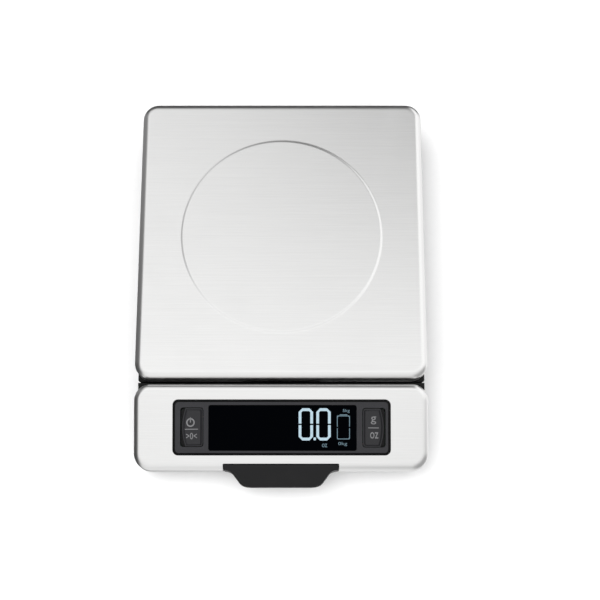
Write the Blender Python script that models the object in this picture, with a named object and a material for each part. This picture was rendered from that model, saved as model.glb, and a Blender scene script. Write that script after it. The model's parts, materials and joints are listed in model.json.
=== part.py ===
"""Kitchen scale: a steel platform on a load cell, and a display unit that pulls out on a slide arm.

Metres, +Z up, front towards -Y. The origin is on the table, under the middle of the whole scale.
"""

from math import cos, pi, radians, sin, tan

import bmesh
import bpy
from mathutils import Matrix, Vector

MM = 0.001
GAP = 0.3 * MM

# Overall
HALF_WIDTH = 81 * MM
CORNER = 9 * MM
SHEET = 0.8 * MM

# Weighing platform
PLATFORM_FRONT = -52.4 * MM
PLATFORM_BACK = 110.4 * MM
PLATFORM_MIDDLE = 30.1 * MM
PLATFORM_TOP = 31.65 * MM
PLATFORM_DEPTH = 10.65 * MM
PLATFORM_EDGE = 4 * MM
RING_RADIUS = 56.6 * MM
RING_RISE = 0.35 * MM
RING_FLANK = 1 * MM

# Display unit, drawn level and then sheared down towards the front
DISPLAY_REAR = -55.1 * MM
DISPLAY_FRONT = -101.3 * MM
DISPLAY_TOP = 31.4 * MM
DISPLAY_SLOPE = radians(12.5)
DISPLAY_DEPTH = 10.5 * MM
DISPLAY_EDGE = 3.8 * MM
COVER_UNDERSIDE = DISPLAY_TOP - SHEET

# Panel: (left, right) and (front, back) of each opening
PANEL_X = (-59.4 * MM, 60.1 * MM)
PANEL_Y = (-93.7 * MM, -63.9 * MM)
WINDOW_X = (-39.5 * MM, 41.2 * MM)
WINDOW_Y = (-90.9 * MM, -67.1 * MM)
BUTTON_SIZE = (12 * MM, 20.4 * MM)
BUTTON_CORNER = 1.5 * MM
DISH_RIM = 1.2 * MM
DISH_DEPTH = 0.8 * MM
BUTTON_CENTRES = {"power": (-48.9 * MM, -78.6 * MM), "unit": (51 * MM, -78.9 * MM)}
PANEL_TOP = DISPLAY_TOP - 0.4 * MM
PANEL_FLANGE = (28.4 * MM, COVER_UNDERSIDE - GAP)
BUTTON_STEM_END = 27.3 * MM

# Pull handle
NOTCH_HALF = 31.9 * MM
NOTCH_BACK = -98.1 * MM
HANDLE_TIP = -110.4 * MM
HANDLE_BOTTOM = 10.9 * MM
HANDLE_SIDE = [  # its right edge from the shoulder to the tip
    (x * MM, y * MM) for x, y in (
        (29.2, -101.7), (27.8, -102.2), (27, -102.8), (26.1, -103.9), (24.9, -105.5), (23.7, -107.1),
        (22.8, -108.2), (21.6, -109.2), (20.4, -109.8), (18.8, -110.2), (16.5, -110.4),
    )
]

# Base
FOOT_HEIGHT = 2.7 * MM
FOOT_RADIUS = 6 * MM
FEET = {"front": -40 * MM, "rear": 97 * MM}
FOOT_X = 65 * MM
FLOOR_BOTTOM = 3 * MM
FLOOR_TOP = 5 * MM
WALL = 2 * MM
TRAY_HALF = 80 * MM
TRAY_FRONT = -52.4 * MM
TRAY_BACK = 109.4 * MM
TRAY_TOP = 20 * MM
DRAFT = 2.5 * MM
DECK = (TRAY_TOP + GAP, 22 * MM)
DECK_HALF = 79.3 * MM
DECK_Y = (-48.5 * MM, 108.6 * MM)
DECK_SCREWS = [(x * MM, y * MM) for x in (-68, 68) for y in (-24, 78)]

# Slide arm and its guide
ARM_HALF = 22 * MM
ARM_Z = (FLOOR_TOP + GAP, 8.3 * MM)
ARM_FRONT = -92 * MM
ARM_TAIL = (62.3 * MM, 68 * MM)
ARM_TAIL_HALF = 25 * MM
GUIDE_Y = (-50 * MM, -33 * MM)
GUIDE_HALF = 28 * MM
GUIDE_TOP = 13 * MM
ARM_SCREWS = [(x * MM, -74 * MM) for x in (-12, 12)]

# Load cell, its fixed end at -X and its free end at +X
CELL_HALF = 38 * MM
CELL_Y = (24.1 * MM, 36.1 * MM)
CELL_Z = (9.9 * MM, 18.9 * MM)
CELL_SCREWS = (28.6 * MM, 34.9 * MM)
CELL_HOLE = 2.2 * MM
CELL_END = 25.6 * MM

# Carrier under the platform
CARRIER_HALF = (74 * MM, 72 * MM)
CARRIER_Z = (22.8 * MM, 24.8 * MM)
SEAT_TOP = 27 * MM
SEATS = [(x * MM, PLATFORM_MIDDLE + y * MM) for x in (-58, 58) for y in (-56, 56)]
LINER_BOTTOM = 29.1 * MM

# Battery bay: four AAA cells in two rows, end to end along X
BATTERY_RADIUS = 5.25 * MM
BATTERY_LENGTH = 43.7 * MM
NUB = 0.8 * MM
BATTERY_ROWS = (84.6 * MM, 96.1 * MM)
BATTERY_Z = 11 * MM
BAY_HALF = 49.2 * MM
BAY_Y = (78.6 * MM, 102.6 * MM)
BAY_TOP = 16.8 * MM
DOOR_HALF = 50.7 * MM
DOOR_Z = (FLOOR_BOTTOM, 4.8 * MM)
HINGE_Y = 101.7 * MM

# Junction board, its socket and the ribbon that follows the slide
BOARD_X = (33 * MM, 62 * MM)
BOARD_Y = (-16 * MM, 16 * MM)
BOARD_Z = (7.2 * MM, 8.8 * MM)
BOARD_POSTS = [(x * MM, y * MM) for x in (37, 58) for y in (-12, 12)]
SOCKET = ((27 * MM, 9 * MM, 5.3 * MM), (31.4 * MM, 20.4 * MM, 9.3 * MM))
RIBBON_START = (20 * MM, ARM_TAIL[1] + GAP)
RIBBON_BEND = 4.5 * MM
RIBBON_THICK = 0.4 * MM
RIBBON_Z = (5.8 * MM, 8 * MM)

# Housing and board of the display unit
HOUSING_HALF = HALF_WIDTH - SHEET - GAP
HOUSING_REAR = TRAY_FRONT - 0.6 * MM
HOUSING_FRONT = DISPLAY_FRONT + SHEET + GAP
HOUSING_LEDGE = 20.2 * MM
HOUSING_STEP = DISPLAY_REAR - SHEET - GAP
HOUSING_TOP = 27.3 * MM
HOUSING_SCREWS = [(x * MM, y * MM) for x in (-70, 70) for y in (-89, -66)]
DISPLAY_BOARD_TOP = 22.6 * MM

JOINTS = {
    "display_slide": (0, DISPLAY_REAR, sum(ARM_Z) / 2),
    "load_deflection": (sum(CELL_SCREWS) / 2, sum(CELL_Y) / 2, CELL_Z[1]),
    "platform_lift": (0, PLATFORM_MIDDLE, LINER_BOTTOM),
    "power_press": (*BUTTON_CENTRES["power"], PANEL_TOP),
    "unit_press": (*BUTTON_CENTRES["unit"], PANEL_TOP),
    "door_hinge": (0, HINGE_Y, sum(DOOR_Z) / 2),
}
JOINT_PARENTS = {
    "platform_lift": "load_deflection",
    "power_press": "display_slide",
    "unit_press": "display_slide",
}

PAINTS = {  # colour, metallic, roughness
    "brushed_steel": ((0.72, 0.72, 0.71), 1.0, 0.32),
    "black_plastic": ((0.02, 0.02, 0.021), 0.0, 0.5),
    "panel_plastic": ((0.05, 0.05, 0.053), 0.0, 0.4),
    "button_plastic": ((0.03, 0.03, 0.032), 0.0, 0.45),
    "window_glass": ((0.005, 0.006, 0.008), 0.0, 0.06),
    "display_glass": ((0.03, 0.05, 0.05), 0.0, 0.1),
    "white_plastic": ((0.8, 0.8, 0.78), 0.0, 0.4),
    "board_green": ((0.02, 0.16, 0.07), 0.0, 0.45),
    "grey_rubber": ((0.12, 0.12, 0.12), 0.0, 0.8),
    "silicone": ((0.75, 0.75, 0.72), 0.0, 0.7),
    "cell_aluminium": ((0.77, 0.78, 0.79), 1.0, 0.35),
    "gauge_film": ((0.75, 0.45, 0.12), 0.0, 0.4),
    "guide_plastic": ((0.85, 0.85, 0.82), 0.0, 0.4),
    "screw_steel": ((0.6, 0.6, 0.6), 1.0, 0.3),
    "contact_nickel": ((0.7, 0.68, 0.62), 1.0, 0.25),
    "battery_wrap": ((0.1, 0.14, 0.2), 0.2, 0.35),
    "ribbon_grey": ((0.55, 0.55, 0.56), 0.0, 0.5),
    "lead_red": ((0.5, 0.03, 0.02), 0.0, 0.5),
}


# Scene

def clear_scene():
    for obj in list(bpy.data.objects):
        bpy.data.objects.remove(obj)


def make_joints():
    """An empty on each joint's axis, for the pieces that move with it."""
    for name, place in JOINTS.items():
        empty = bpy.data.objects.new(name, None)
        empty.empty_display_size = 8 * MM
        empty.location = place
        bpy.context.collection.objects.link(empty)
        hang_from(empty, JOINT_PARENTS.get(name))


def hang_from(obj, joint):
    """Parents an object to a joint's empty and leaves it where it is."""
    if joint:
        obj.parent = bpy.data.objects[joint]
        obj.matrix_parent_inverse = Matrix.Translation(-Vector(JOINTS[joint]))


def paint_named(name):
    if name in bpy.data.materials:
        return bpy.data.materials[name]
    colour, metallic, roughness = PAINTS[name]
    material = bpy.data.materials.new(name)
    material.use_nodes = True
    shader = material.node_tree.nodes["Principled BSDF"]
    shader.inputs["Base Color"].default_value = (*colour, 1)
    shader.inputs["Metallic"].default_value = metallic
    shader.inputs["Roughness"].default_value = roughness
    material.diffuse_color = (*colour, 1)
    return material


def add_piece(name, bm, paint, joint=None):
    """Turns a bmesh into a named object, placed by its mesh and hung from its joint."""
    mesh = bpy.data.meshes.new(name)
    bm.to_mesh(mesh)
    bm.free()
    mesh.shade_smooth()
    mesh.set_sharp_from_angle(angle=radians(35))
    obj = bpy.data.objects.new(name, mesh)
    bpy.context.collection.objects.link(obj)
    mesh.materials.append(paint_named(paint))
    hang_from(obj, joint)
    return obj


def shape_with(target, label, bm, operation="DIFFERENCE"):
    """Cuts, joins or trims a piece with a hidden helper solid."""
    mesh = bpy.data.meshes.new(f"{target.name}_{label}")
    bm.to_mesh(mesh)
    bm.free()
    helper = bpy.data.objects.new(mesh.name, mesh)
    helper.hide_render = True
    helper.display_type = "WIRE"
    bpy.context.collection.objects.link(helper)
    modifier = target.modifiers.new(label, "BOOLEAN")
    modifier.operation = operation
    modifier.solver = "EXACT"
    modifier.object = helper


# Shapes

def block(*corner_pairs):
    """One bmesh of boxes, each given by its lowest and highest corner."""
    bm = bmesh.new()
    for low, high in corner_pairs:
        middle = (Vector(low) + Vector(high)) / 2
        size = Vector(high) - Vector(low)
        matrix = Matrix.Translation(middle) @ Matrix.Diagonal((*size, 1))
        bmesh.ops.create_cube(bm, size=1, matrix=matrix)
    return bm


def rods(places, radius, bottom, top, sides=12, bm=None):
    """One bmesh of upright cylinders."""
    bm = bm or bmesh.new()
    for x, y in places:
        middle = Matrix.Translation((x, y, (bottom + top) / 2))
        bmesh.ops.create_cone(
            bm, cap_ends=True, segments=sides, radius1=radius, radius2=radius,
            depth=top - bottom, matrix=middle,
        )
    return bm


def prism(outline, bottom, top, upright=Matrix.Identity(4)):
    """A closed solid on a flat outline; upright turns the drawing plane."""
    bm = bmesh.new()
    face = bm.faces.new([bm.verts.new((x, y, bottom)) for x, y in outline])
    grown = bmesh.ops.extrude_face_region(bm, geom=[face])["geom"]
    moved = [item for item in grown if isinstance(item, bmesh.types.BMVert)]
    bmesh.ops.translate(bm, vec=(0, 0, top - bottom), verts=moved)
    bmesh.ops.transform(bm, matrix=upright, verts=bm.verts)
    bmesh.ops.recalc_face_normals(bm, faces=bm.faces)
    return bm


def side_prism(outline, half_width):
    """A solid whose (y, z) outline runs from side to side."""
    along_x = Matrix(((0, 0, 1, 0), (1, 0, 0, 0), (0, 1, 0, 0), (0, 0, 0, 1)))
    return prism(outline, -half_width, half_width, along_x)


def arc(centre, radius, start, end, steps):
    """Points along an arc, its angles in degrees."""
    angles = (radians(start + (end - start) * step / steps) for step in range(steps + 1))
    return [(centre[0] + radius * cos(a), centre[1] + radius * sin(a)) for a in angles]


def rounded(across, along, radius, steps=5):
    """Outline of a rectangle with round corners."""
    left, right = across
    front, back = along
    corners = ((right, back, 0), (left, back, 90), (left, front, 180), (right, front, 270))
    outline = []
    for x, y, start in corners:
        turn = radians(start + 45)
        inwards = Vector((cos(turn), sin(turn))) * radius * 2 ** 0.5
        outline += arc((x - inwards.x, y - inwards.y), radius, start, start + 90, steps)
    return outline


def inset(pair, by):
    return (pair[0] + by, pair[1] - by)


def edges_at(bm, test):
    return [edge for edge in bm.edges if all(test(vert.co) for vert in edge.verts)]


def bevel(bm, edges, radius, steps):
    bmesh.ops.bevel(
        bm, geom=edges, offset=radius, affect="EDGES", segments=steps, profile=0.5, material=-1
    )
    return bm


def round_top(bm, height, radius, steps=4):
    return bevel(bm, edges_at(bm, lambda at: abs(at.z - height) < 1e-6), radius, steps)


def sheared(bm):
    """Slopes a piece of the display unit that was drawn level."""
    fall = tan(DISPLAY_SLOPE)
    matrix = Matrix.Identity(4)
    matrix[2][1] = fall
    matrix[2][3] = -fall * DISPLAY_REAR
    bmesh.ops.transform(bm, matrix=matrix, verts=bm.verts)
    return bm


def drop_at(y):
    """How far the display unit's surface has fallen at y."""
    return tan(DISPLAY_SLOPE) * (DISPLAY_REAR - y)


def joined(first, *others):
    """One bmesh that holds several separate solids."""
    for other in others:
        mesh = bpy.data.meshes.new("part")
        other.to_mesh(mesh)
        other.free()
        first.from_mesh(mesh)
        bpy.data.meshes.remove(mesh)
    return first


def screw(place, head_bottom, tip, head_radius, shaft_radius, head_height, upwards=True):
    """A pan-head screw turned about its own axis; it points down unless upwards."""
    x, y = place
    bm = bmesh.new()
    way = 1 if upwards else -1
    profile = (
        (0, head_bottom),
        (head_radius * 0.8, head_bottom),
        (head_radius, head_bottom + way * head_height * 0.4),
        (head_radius, head_bottom + way * head_height),
        (shaft_radius, head_bottom + way * head_height),
        (shaft_radius, tip - way * shaft_radius),
        (0, tip),
    )
    verts = [bm.verts.new((x + out, y, height)) for out, height in profile]
    edges = [bm.edges.new(pair) for pair in zip(verts, verts[1:])]
    bmesh.ops.spin(
        bm, geom=verts + edges, cent=(x, y, 0), axis=(0, 0, 1), angle=2 * pi, steps=10,
        use_merge=True,
    )
    bmesh.ops.remove_doubles(bm, verts=bm.verts, dist=1e-6)
    bmesh.ops.recalc_face_normals(bm, faces=bm.faces)
    return bm


# Weighing platform

def shell(across, along, bottom, top, edge):
    """The outside of a folded steel cover and the solid that hollows it out."""
    outer = round_top(prism(rounded(across, along, CORNER), bottom, top), top, edge)
    hollow_top = top - SHEET
    inner = prism(
        rounded(inset(across, SHEET), inset(along, SHEET), CORNER - SHEET),
        bottom - 1 * MM, hollow_top,
    )
    return outer, round_top(inner, hollow_top, edge - SHEET)


def make_platform():
    across = (-HALF_WIDTH, HALF_WIDTH)
    along = (PLATFORM_FRONT, PLATFORM_BACK)
    bottom = PLATFORM_TOP - PLATFORM_DEPTH
    outer, inner = shell(across, along, bottom, PLATFORM_TOP, PLATFORM_EDGE)
    plate = add_piece("platform_plate", outer, "brushed_steel", "platform_lift")
    shape_with(plate, "hollow", inner)
    ring = bmesh.new()
    bmesh.ops.create_cone(
        ring, cap_ends=True, segments=64,
        radius1=RING_RADIUS + 1.5 * RING_FLANK, radius2=RING_RADIUS - RING_FLANK / 2,
        depth=2 * RING_RISE, matrix=Matrix.Translation((0, PLATFORM_MIDDLE, PLATFORM_TOP)),
    )
    shape_with(plate, "raised_ring", ring, "UNION")

    rim = 3.5 * MM
    liner_top = PLATFORM_TOP - SHEET - GAP
    outline = rounded(inset(across, rim), inset(along, rim), 6 * MM)
    rim_bottom = 25.5 * MM
    liner = add_piece(
        "platform_liner", prism(outline, rim_bottom, liner_top), "black_plastic", "platform_lift"
    )
    hollow = rounded(inset(across, rim + WALL), inset(along, rim + WALL), 4 * MM)
    shape_with(liner, "hollow", prism(hollow, rim_bottom - 1 * MM, LINER_BOTTOM))


def make_carrier():
    half_x, half_y = CARRIER_HALF
    along = (PLATFORM_MIDDLE - half_y, PLATFORM_MIDDLE + half_y)
    plate = prism(rounded((-half_x, half_x), along, 8 * MM, 3), *CARRIER_Z)
    carrier = add_piece("platform_carrier", plate, "black_plastic", "load_deflection")

    web = 9 * MM
    rim = 10 * MM
    arms_y = (CELL_Y[0] - 4 * MM, CELL_Y[1] + 4 * MM)
    low, high = CARRIER_Z[0] - 1 * MM, CARRIER_Z[1] + 1 * MM
    windows = [
        ((x0, y0, low), (x1, y1, high))
        for x0, x1 in ((-46 * MM, -web), (web, 46 * MM))
        for y0, y1 in ((along[0] + rim, arms_y[0]), (arms_y[1], along[1] - rim))
    ]
    shape_with(carrier, "windows", block(*windows))

    inside = CARRIER_Z[0] + 1 * MM
    boss = block(((CELL_END, CELL_Y[0], CELL_Z[1] + GAP), (CELL_HALF, CELL_Y[1], inside)))
    seats = rods(SEATS, 8 * MM, inside, SEAT_TOP, 16)
    shape_with(carrier, "boss_and_seats", joined(boss, seats), "UNION")

    places = [(x, sum(CELL_Y) / 2) for x in CELL_SCREWS]
    holes = rods(places, CELL_HOLE, CELL_Z[1] - 1 * MM, 23.6 * MM, 10)
    shape_with(carrier, "screw_holes", holes)
    sinks = rods(places, 2.9 * MM, 23.2 * MM, high, 10)
    shape_with(carrier, "screw_sinks", sinks)
    for label, place in zip(("inner", "outer"), places):
        fastener = screw(place, 24.7 * MM, 12 * MM, 2.6 * MM, 1.85 * MM, 1.2 * MM, False)
        add_piece(f"carrier_screw_{label}", fastener, "screw_steel", "load_deflection")

    corner = (f"{end}_{side}" for side in ("left", "right") for end in ("front", "rear"))
    for label, place in zip(corner, SEATS):
        pad = rods([place], 6.5 * MM, SEAT_TOP + GAP, LINER_BOTTOM - GAP, 16)
        add_piece(f"carrier_pad_{label}", pad, "silicone", "load_deflection")


def make_load_cell():
    middle_y = sum(CELL_Y) / 2
    middle_z = sum(CELL_Z) / 2
    bar = block(((-CELL_HALF, CELL_Y[0], CELL_Z[0]), (CELL_HALF, CELL_Y[1], CELL_Z[1])))
    cell = add_piece("load_cell", bar, "cell_aluminium")
    places = [(side * x, middle_y) for side in (-1, 1) for x in CELL_SCREWS]
    bores = rods(places, CELL_HOLE, CELL_Z[0] - 1 * MM, CELL_Z[1] + 1 * MM, 10)
    for x in (-8 * MM, 8 * MM):
        lying = Matrix.Translation((x, middle_y, middle_z)) @ Matrix.Rotation(pi / 2, 4, "X")
        bmesh.ops.create_cone(
            bores, cap_ends=True, segments=16, radius1=3.4 * MM, radius2=3.4 * MM,
            depth=16 * MM, matrix=lying,
        )
    shape_with(cell, "bores", bores)
    slot = ((-7 * MM, CELL_Y[0] - 1 * MM, middle_z - 1 * MM),
            (7 * MM, CELL_Y[1] + 1 * MM, middle_z + 1 * MM))
    shape_with(cell, "slot", block(slot))

    for name, low in (("upper", CELL_Z[1] + GAP), ("lower", CELL_Z[0] - GAP - 0.5 * MM)):
        film = block(((-13 * MM, middle_y - 4 * MM, low), (13 * MM, middle_y + 4 * MM, low + 0.5 * MM)))
        add_piece(f"strain_gauge_{name}", film, "gauge_film")

    low = (-CELL_HALF, CELL_Y[0], FLOOR_TOP + GAP)
    high = (-CELL_END, CELL_Y[1], CELL_Z[0] - GAP)
    spacer = add_piece("load_cell_spacer", block((low, high)), "cell_aluminium")
    holes = rods(places[:2], CELL_HOLE, 4 * MM, CELL_Z[0] + 1 * MM, 10)
    shape_with(spacer, "holes", holes)
    for label, place in zip(("inner", "outer"), places):
        fastener = screw(place, 3.2 * MM, 16.5 * MM, 2.6 * MM, 1.85 * MM, 1 * MM)
        add_piece(f"cell_screw_{label}", fastener, "screw_steel")


# Base

def drafted(bm):
    """Leans the base's sides and back inwards towards the floor."""
    for vert in bm.verts:
        lean = DRAFT * (TRAY_TOP - vert.co.z) / (TRAY_TOP - FLOOR_BOTTOM)
        if abs(vert.co.x) > 70 * MM:
            vert.co.x -= lean if vert.co.x > 0 else -lean
        if vert.co.y > 100 * MM:
            vert.co.y -= lean
    return bm


def round_upright(bm, y, radius, steps):
    """Rounds the upright edges that lie at y."""
    upright = [
        edge for edge in edges_at(bm, lambda at: abs(at.y - y) < 1e-6)
        if abs(edge.verts[0].co.x - edge.verts[1].co.x) < 1e-6
    ]
    return bevel(bm, upright, radius, steps)


def make_tray():
    outside = [(TRAY_FRONT, FLOOR_BOTTOM), (TRAY_BACK, FLOOR_BOTTOM),
               (TRAY_BACK, TRAY_TOP), (TRAY_FRONT, TRAY_TOP)]
    body = round_upright(side_prism(outside, TRAY_HALF), TRAY_BACK, 8 * MM, 4)
    round_upright(body, TRAY_FRONT, 1 * MM, 2)
    tray = add_piece("base_tray", drafted(body), "black_plastic")
    lip = TRAY_FRONT + 5.4 * MM
    inside = [(TRAY_FRONT + WALL, FLOOR_TOP), (TRAY_BACK - WALL, FLOOR_TOP),
              (TRAY_BACK - WALL, TRAY_TOP + 1 * MM), (lip, TRAY_TOP + 1 * MM),
              (lip, TRAY_TOP - WALL), (TRAY_FRONT + WALL, TRAY_TOP - WALL)]
    hollow = round_upright(side_prism(inside, TRAY_HALF - WALL), TRAY_BACK - WALL, 6 * MM, 4)
    shape_with(tray, "hollow", drafted(hollow))
    slot = ((-ARM_HALF - 0.5 * MM, TRAY_FRONT - 1 * MM, FLOOR_TOP + 0.1 * MM),
            (ARM_HALF + 0.5 * MM, TRAY_FRONT + 3 * MM, ARM_Z[1] + 0.9 * MM))
    shape_with(tray, "arm_slot", block(slot))

    bay_wall = ((-BAY_HALF - WALL, BAY_Y[0] - WALL, FLOOR_BOTTOM + 0.5 * MM),
                (BAY_HALF + WALL, TRAY_BACK - 3 * MM, BAY_TOP + WALL))
    shape_with(tray, "bay_wall", block(bay_wall), "UNION")
    bay = ((-BAY_HALF, BAY_Y[0], FLOOR_BOTTOM + 1 * MM), (BAY_HALF, BAY_Y[1], BAY_TOP))
    shape_with(tray, "bay", block(bay))
    mouth = ((-DOOR_HALF - GAP, BAY_Y[0] + 0.2 * MM, FLOOR_BOTTOM - 1 * MM),
             (DOOR_HALF + GAP, BAY_Y[1] + GAP, DOOR_Z[1] + GAP))
    shape_with(tray, "bay_mouth", block(mouth))

    posts = rods(BOARD_POSTS, 2.5 * MM, FLOOR_TOP - 1 * MM, BOARD_Z[0] - GAP, 8)
    shape_with(tray, "board_posts", posts, "UNION")
    cell_places = [(-x, sum(CELL_Y) / 2) for x in CELL_SCREWS]
    holes = rods(cell_places, CELL_HOLE, 2 * MM, 6 * MM, 10)
    rods(DECK_SCREWS, 1.6 * MM, 2 * MM, 6 * MM, 10, holes)
    shape_with(tray, "screw_holes", holes)
    sinks = rods(cell_places, 2.9 * MM, 2 * MM, 4.3 * MM, 12)
    rods(DECK_SCREWS, 3.1 * MM, 2 * MM, 4.3 * MM, 12, sinks)
    shape_with(tray, "screw_sinks", sinks)


def make_deck():
    outline = rounded((-DECK_HALF, DECK_HALF), DECK_Y, 7 * MM, 4)
    deck = add_piece("base_deck", prism(outline, *DECK), "black_plastic")
    boss_low = FLOOR_TOP + GAP
    shape_with(deck, "bosses", rods(DECK_SCREWS, 3.4 * MM, boss_low, DECK[0] + 0.8 * MM, 12), "UNION")
    shape_with(deck, "boss_holes", rods(DECK_SCREWS, 1.4 * MM, boss_low - 1 * MM, 15 * MM, 10))
    window = ((CELL_END - 1.1 * MM, CELL_Y[0] - 1.5 * MM, DECK[0] - 1 * MM),
              (CELL_HALF + 1.5 * MM, CELL_Y[1] + 1.5 * MM, DECK[1] + 1 * MM))
    shape_with(deck, "boss_window", block(window))
    labels = (f"{side}_{end}" for side in ("left", "right") for end in ("front", "rear"))
    for label, place in zip(labels, DECK_SCREWS):
        fastener = screw(place, 3.2 * MM, 14 * MM, 2.7 * MM, 1.1 * MM, 1 * MM)
        add_piece(f"deck_screw_{label}", fastener, "screw_steel")


def make_feet():
    for end, y in FEET.items():
        for side, x in (("left", -FOOT_X), ("right", FOOT_X)):
            foot = rods([(x, y)], FOOT_RADIUS, 0, FOOT_HEIGHT, 20)
            bevel(foot, edges_at(foot, lambda at: at.z < 1e-6), 0.6 * MM, 1)
            add_piece(f"foot_{end}_{side}", foot, "grey_rubber")


def make_guide():
    opening = ARM_HALF + 0.4 * MM
    top = ARM_Z[1] + 0.5 * MM
    low = FLOOR_TOP + GAP
    outline = [(-GUIDE_HALF, low), (-opening, low), (-opening, top), (opening, top),
               (opening, low), (GUIDE_HALF, low), (GUIDE_HALF, GUIDE_TOP), (-GUIDE_HALF, GUIDE_TOP)]
    facing_front = Matrix(((1, 0, 0, 0), (0, 0, 1, 0), (0, 1, 0, 0), (0, 0, 0, 1)))
    add_piece("slide_guide", prism(outline, *GUIDE_Y, facing_front), "guide_plastic")


def make_junction():
    """The board between cell, batteries and ribbon, its socket, and the cell's lead."""
    board = block(((BOARD_X[0], BOARD_Y[0], BOARD_Z[0]), (BOARD_X[1], BOARD_Y[1], BOARD_Z[1])))
    add_piece("base_board", board, "board_green")
    add_piece("ribbon_socket", block(SOCKET), "guide_plastic")

    x, y = RIBBON_START
    turn_y = y + 1.2 * MM
    centre = (x + RIBBON_BEND, turn_y)
    half = RIBBON_THICK / 2
    end_y = SOCKET[1][1] + GAP
    far_x = x + 2 * RIBBON_BEND
    outline = [(x - half, y)] + arc(centre, RIBBON_BEND + half, 180, 0, 10)
    outline += [(far_x + half, end_y), (far_x - half, end_y)]
    outline += arc(centre, RIBBON_BEND - half, 0, 180, 10) + [(x + half, y)]
    add_piece("ribbon_cable", prism(outline, *RIBBON_Z), "ribbon_grey")

    start = Vector((16 * MM, CELL_Y[0] - 1.2 * MM, 15 * MM))
    pull = Vector((16 * MM, 12 * MM, 16 * MM))
    push = Vector((40 * MM, 2 * MM, 16 * MM))
    end = Vector((40 * MM, 4 * MM, BOARD_Z[1] + GAP))
    curve = bpy.data.curves.new("load_cell_lead", "CURVE")
    curve.dimensions = "3D"
    curve.bevel_depth = 0.8 * MM
    curve.bevel_resolution = 2
    curve.use_fill_caps = True
    spline = curve.splines.new("POLY")
    steps = 12
    spline.points.add(steps)
    for step, point in enumerate(spline.points):
        t = step / steps
        s = 1 - t
        at = start * s**3 + pull * 3 * s * s * t + push * 3 * s * t * t + end * t**3
        point.co = (*at, 1)
    curve.materials.append(paint_named("lead_red"))
    lead = bpy.data.objects.new("load_cell_lead", curve)
    bpy.context.collection.objects.link(lead)


# Batteries

def make_battery(name, x, y, towards):
    """An AAA cell along X with its nub at the end that towards points to."""
    turned = Matrix.Rotation(towards * pi / 2, 4, "Y")
    bm = bmesh.new()
    body = Matrix.Translation((x - towards * NUB / 2, y, BATTERY_Z)) @ turned
    bmesh.ops.create_cone(
        bm, cap_ends=True, segments=20, radius1=BATTERY_RADIUS, radius2=BATTERY_RADIUS,
        depth=BATTERY_LENGTH, matrix=body,
    )
    cap = max(bm.faces, key=lambda face: towards * face.calc_center_median().x)
    bmesh.ops.inset_region(bm, faces=[cap], thickness=3.3 * MM)
    grown = bmesh.ops.extrude_face_region(bm, geom=[cap])["geom"]
    bmesh.ops.translate(
        bm, vec=(towards * NUB, 0, 0), verts=[v for v in grown if isinstance(v, bmesh.types.BMVert)]
    )
    bmesh.ops.delete(bm, geom=[cap], context="FACES_ONLY")
    add_piece(name, bm, "battery_wrap")


def make_contact(name, side, rows, sprung):
    """A plate at one end of the bay; each row meets a spring or a bump."""
    outer = BAY_HALF - 0.4 * MM
    inner = outer - 0.5 * MM
    reach = BATTERY_LENGTH + NUB + 0.5 * MM
    low_y, high_y = min(rows) - 4.6 * MM, max(rows) + 4.6 * MM
    xs = sorted((side * inner, side * outer))
    plate = block(((xs[0], low_y, BATTERY_Z - 4.6 * MM), (xs[1], high_y, BATTERY_Z + 4.6 * MM)))
    piece = add_piece(name, plate, "contact_nickel")
    tips = bmesh.new()
    for row, is_spring in zip(rows, sprung):
        tip = reach if is_spring else inner - 1.6 * MM
        root = inner + 0.25 * MM
        wide, narrow = (3.6 * MM, 1.8 * MM) if is_spring else (2.4 * MM, 1.6 * MM)
        placed = Matrix.Translation((side * (tip + root) / 2, row, BATTERY_Z))
        bmesh.ops.create_cone(
            tips, cap_ends=True, segments=12, radius1=wide, radius2=narrow, depth=root - tip,
            matrix=placed @ Matrix.Rotation(-side * pi / 2, 4, "Y"),
        )
    shape_with(piece, "tips", tips, "UNION")


def make_batteries():
    front, rear = BATTERY_ROWS
    half = (BATTERY_LENGTH + NUB) / 2 + 0.2 * MM
    make_battery("battery_front_left", -half, front, 1)
    make_battery("battery_front_right", half, front, 1)
    make_battery("battery_rear_left", -half, rear, -1)
    make_battery("battery_rear_right", half, rear, -1)
    make_contact("contact_bridge", -1, (front, rear), (True, False))
    make_contact("contact_positive", 1, (front,), (False,))
    make_contact("contact_negative", 1, (rear,), (True,))

    barrel = (DOOR_Z[1] - DOOR_Z[0]) / 2
    middle = sum(DOOR_Z) / 2
    outline = [(BAY_Y[0] + 0.5 * MM, DOOR_Z[1]), (BAY_Y[0] + 0.5 * MM, DOOR_Z[0])]
    outline += arc((HINGE_Y, middle), barrel, -90, 90, 6)
    add_piece("battery_door", side_prism(outline, DOOR_HALF), "black_plastic", "door_hinge")


# Display unit

def make_cover():
    across = (-HALF_WIDTH, HALF_WIDTH)
    along = (DISPLAY_FRONT, DISPLAY_REAR)
    outer, inner = shell(across, along, DISPLAY_TOP - DISPLAY_DEPTH, DISPLAY_TOP, DISPLAY_EDGE)
    cover = add_piece("display_cover", sheared(outer), "brushed_steel", "display_slide")
    shape_with(cover, "hollow", sheared(inner))
    low, high = DISPLAY_TOP - 5 * MM, DISPLAY_TOP + 1 * MM
    opening = prism(rounded(PANEL_X, PANEL_Y, 3 * MM, 4), low, high)
    shape_with(cover, "panel_opening", sheared(opening))
    notch = ((-NOTCH_HALF, DISPLAY_FRONT - 1 * MM, DISPLAY_TOP - DISPLAY_DEPTH - 2 * MM),
             (NOTCH_HALF, NOTCH_BACK, high))
    shape_with(cover, "handle_notch", sheared(block(notch)))


def slope_top(bm, above):
    """Lowers the top of a solid so that it follows the cover."""
    for vert in bm.verts:
        if vert.co.z > above:
            vert.co.z -= drop_at(vert.co.y)
    return bm


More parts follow.
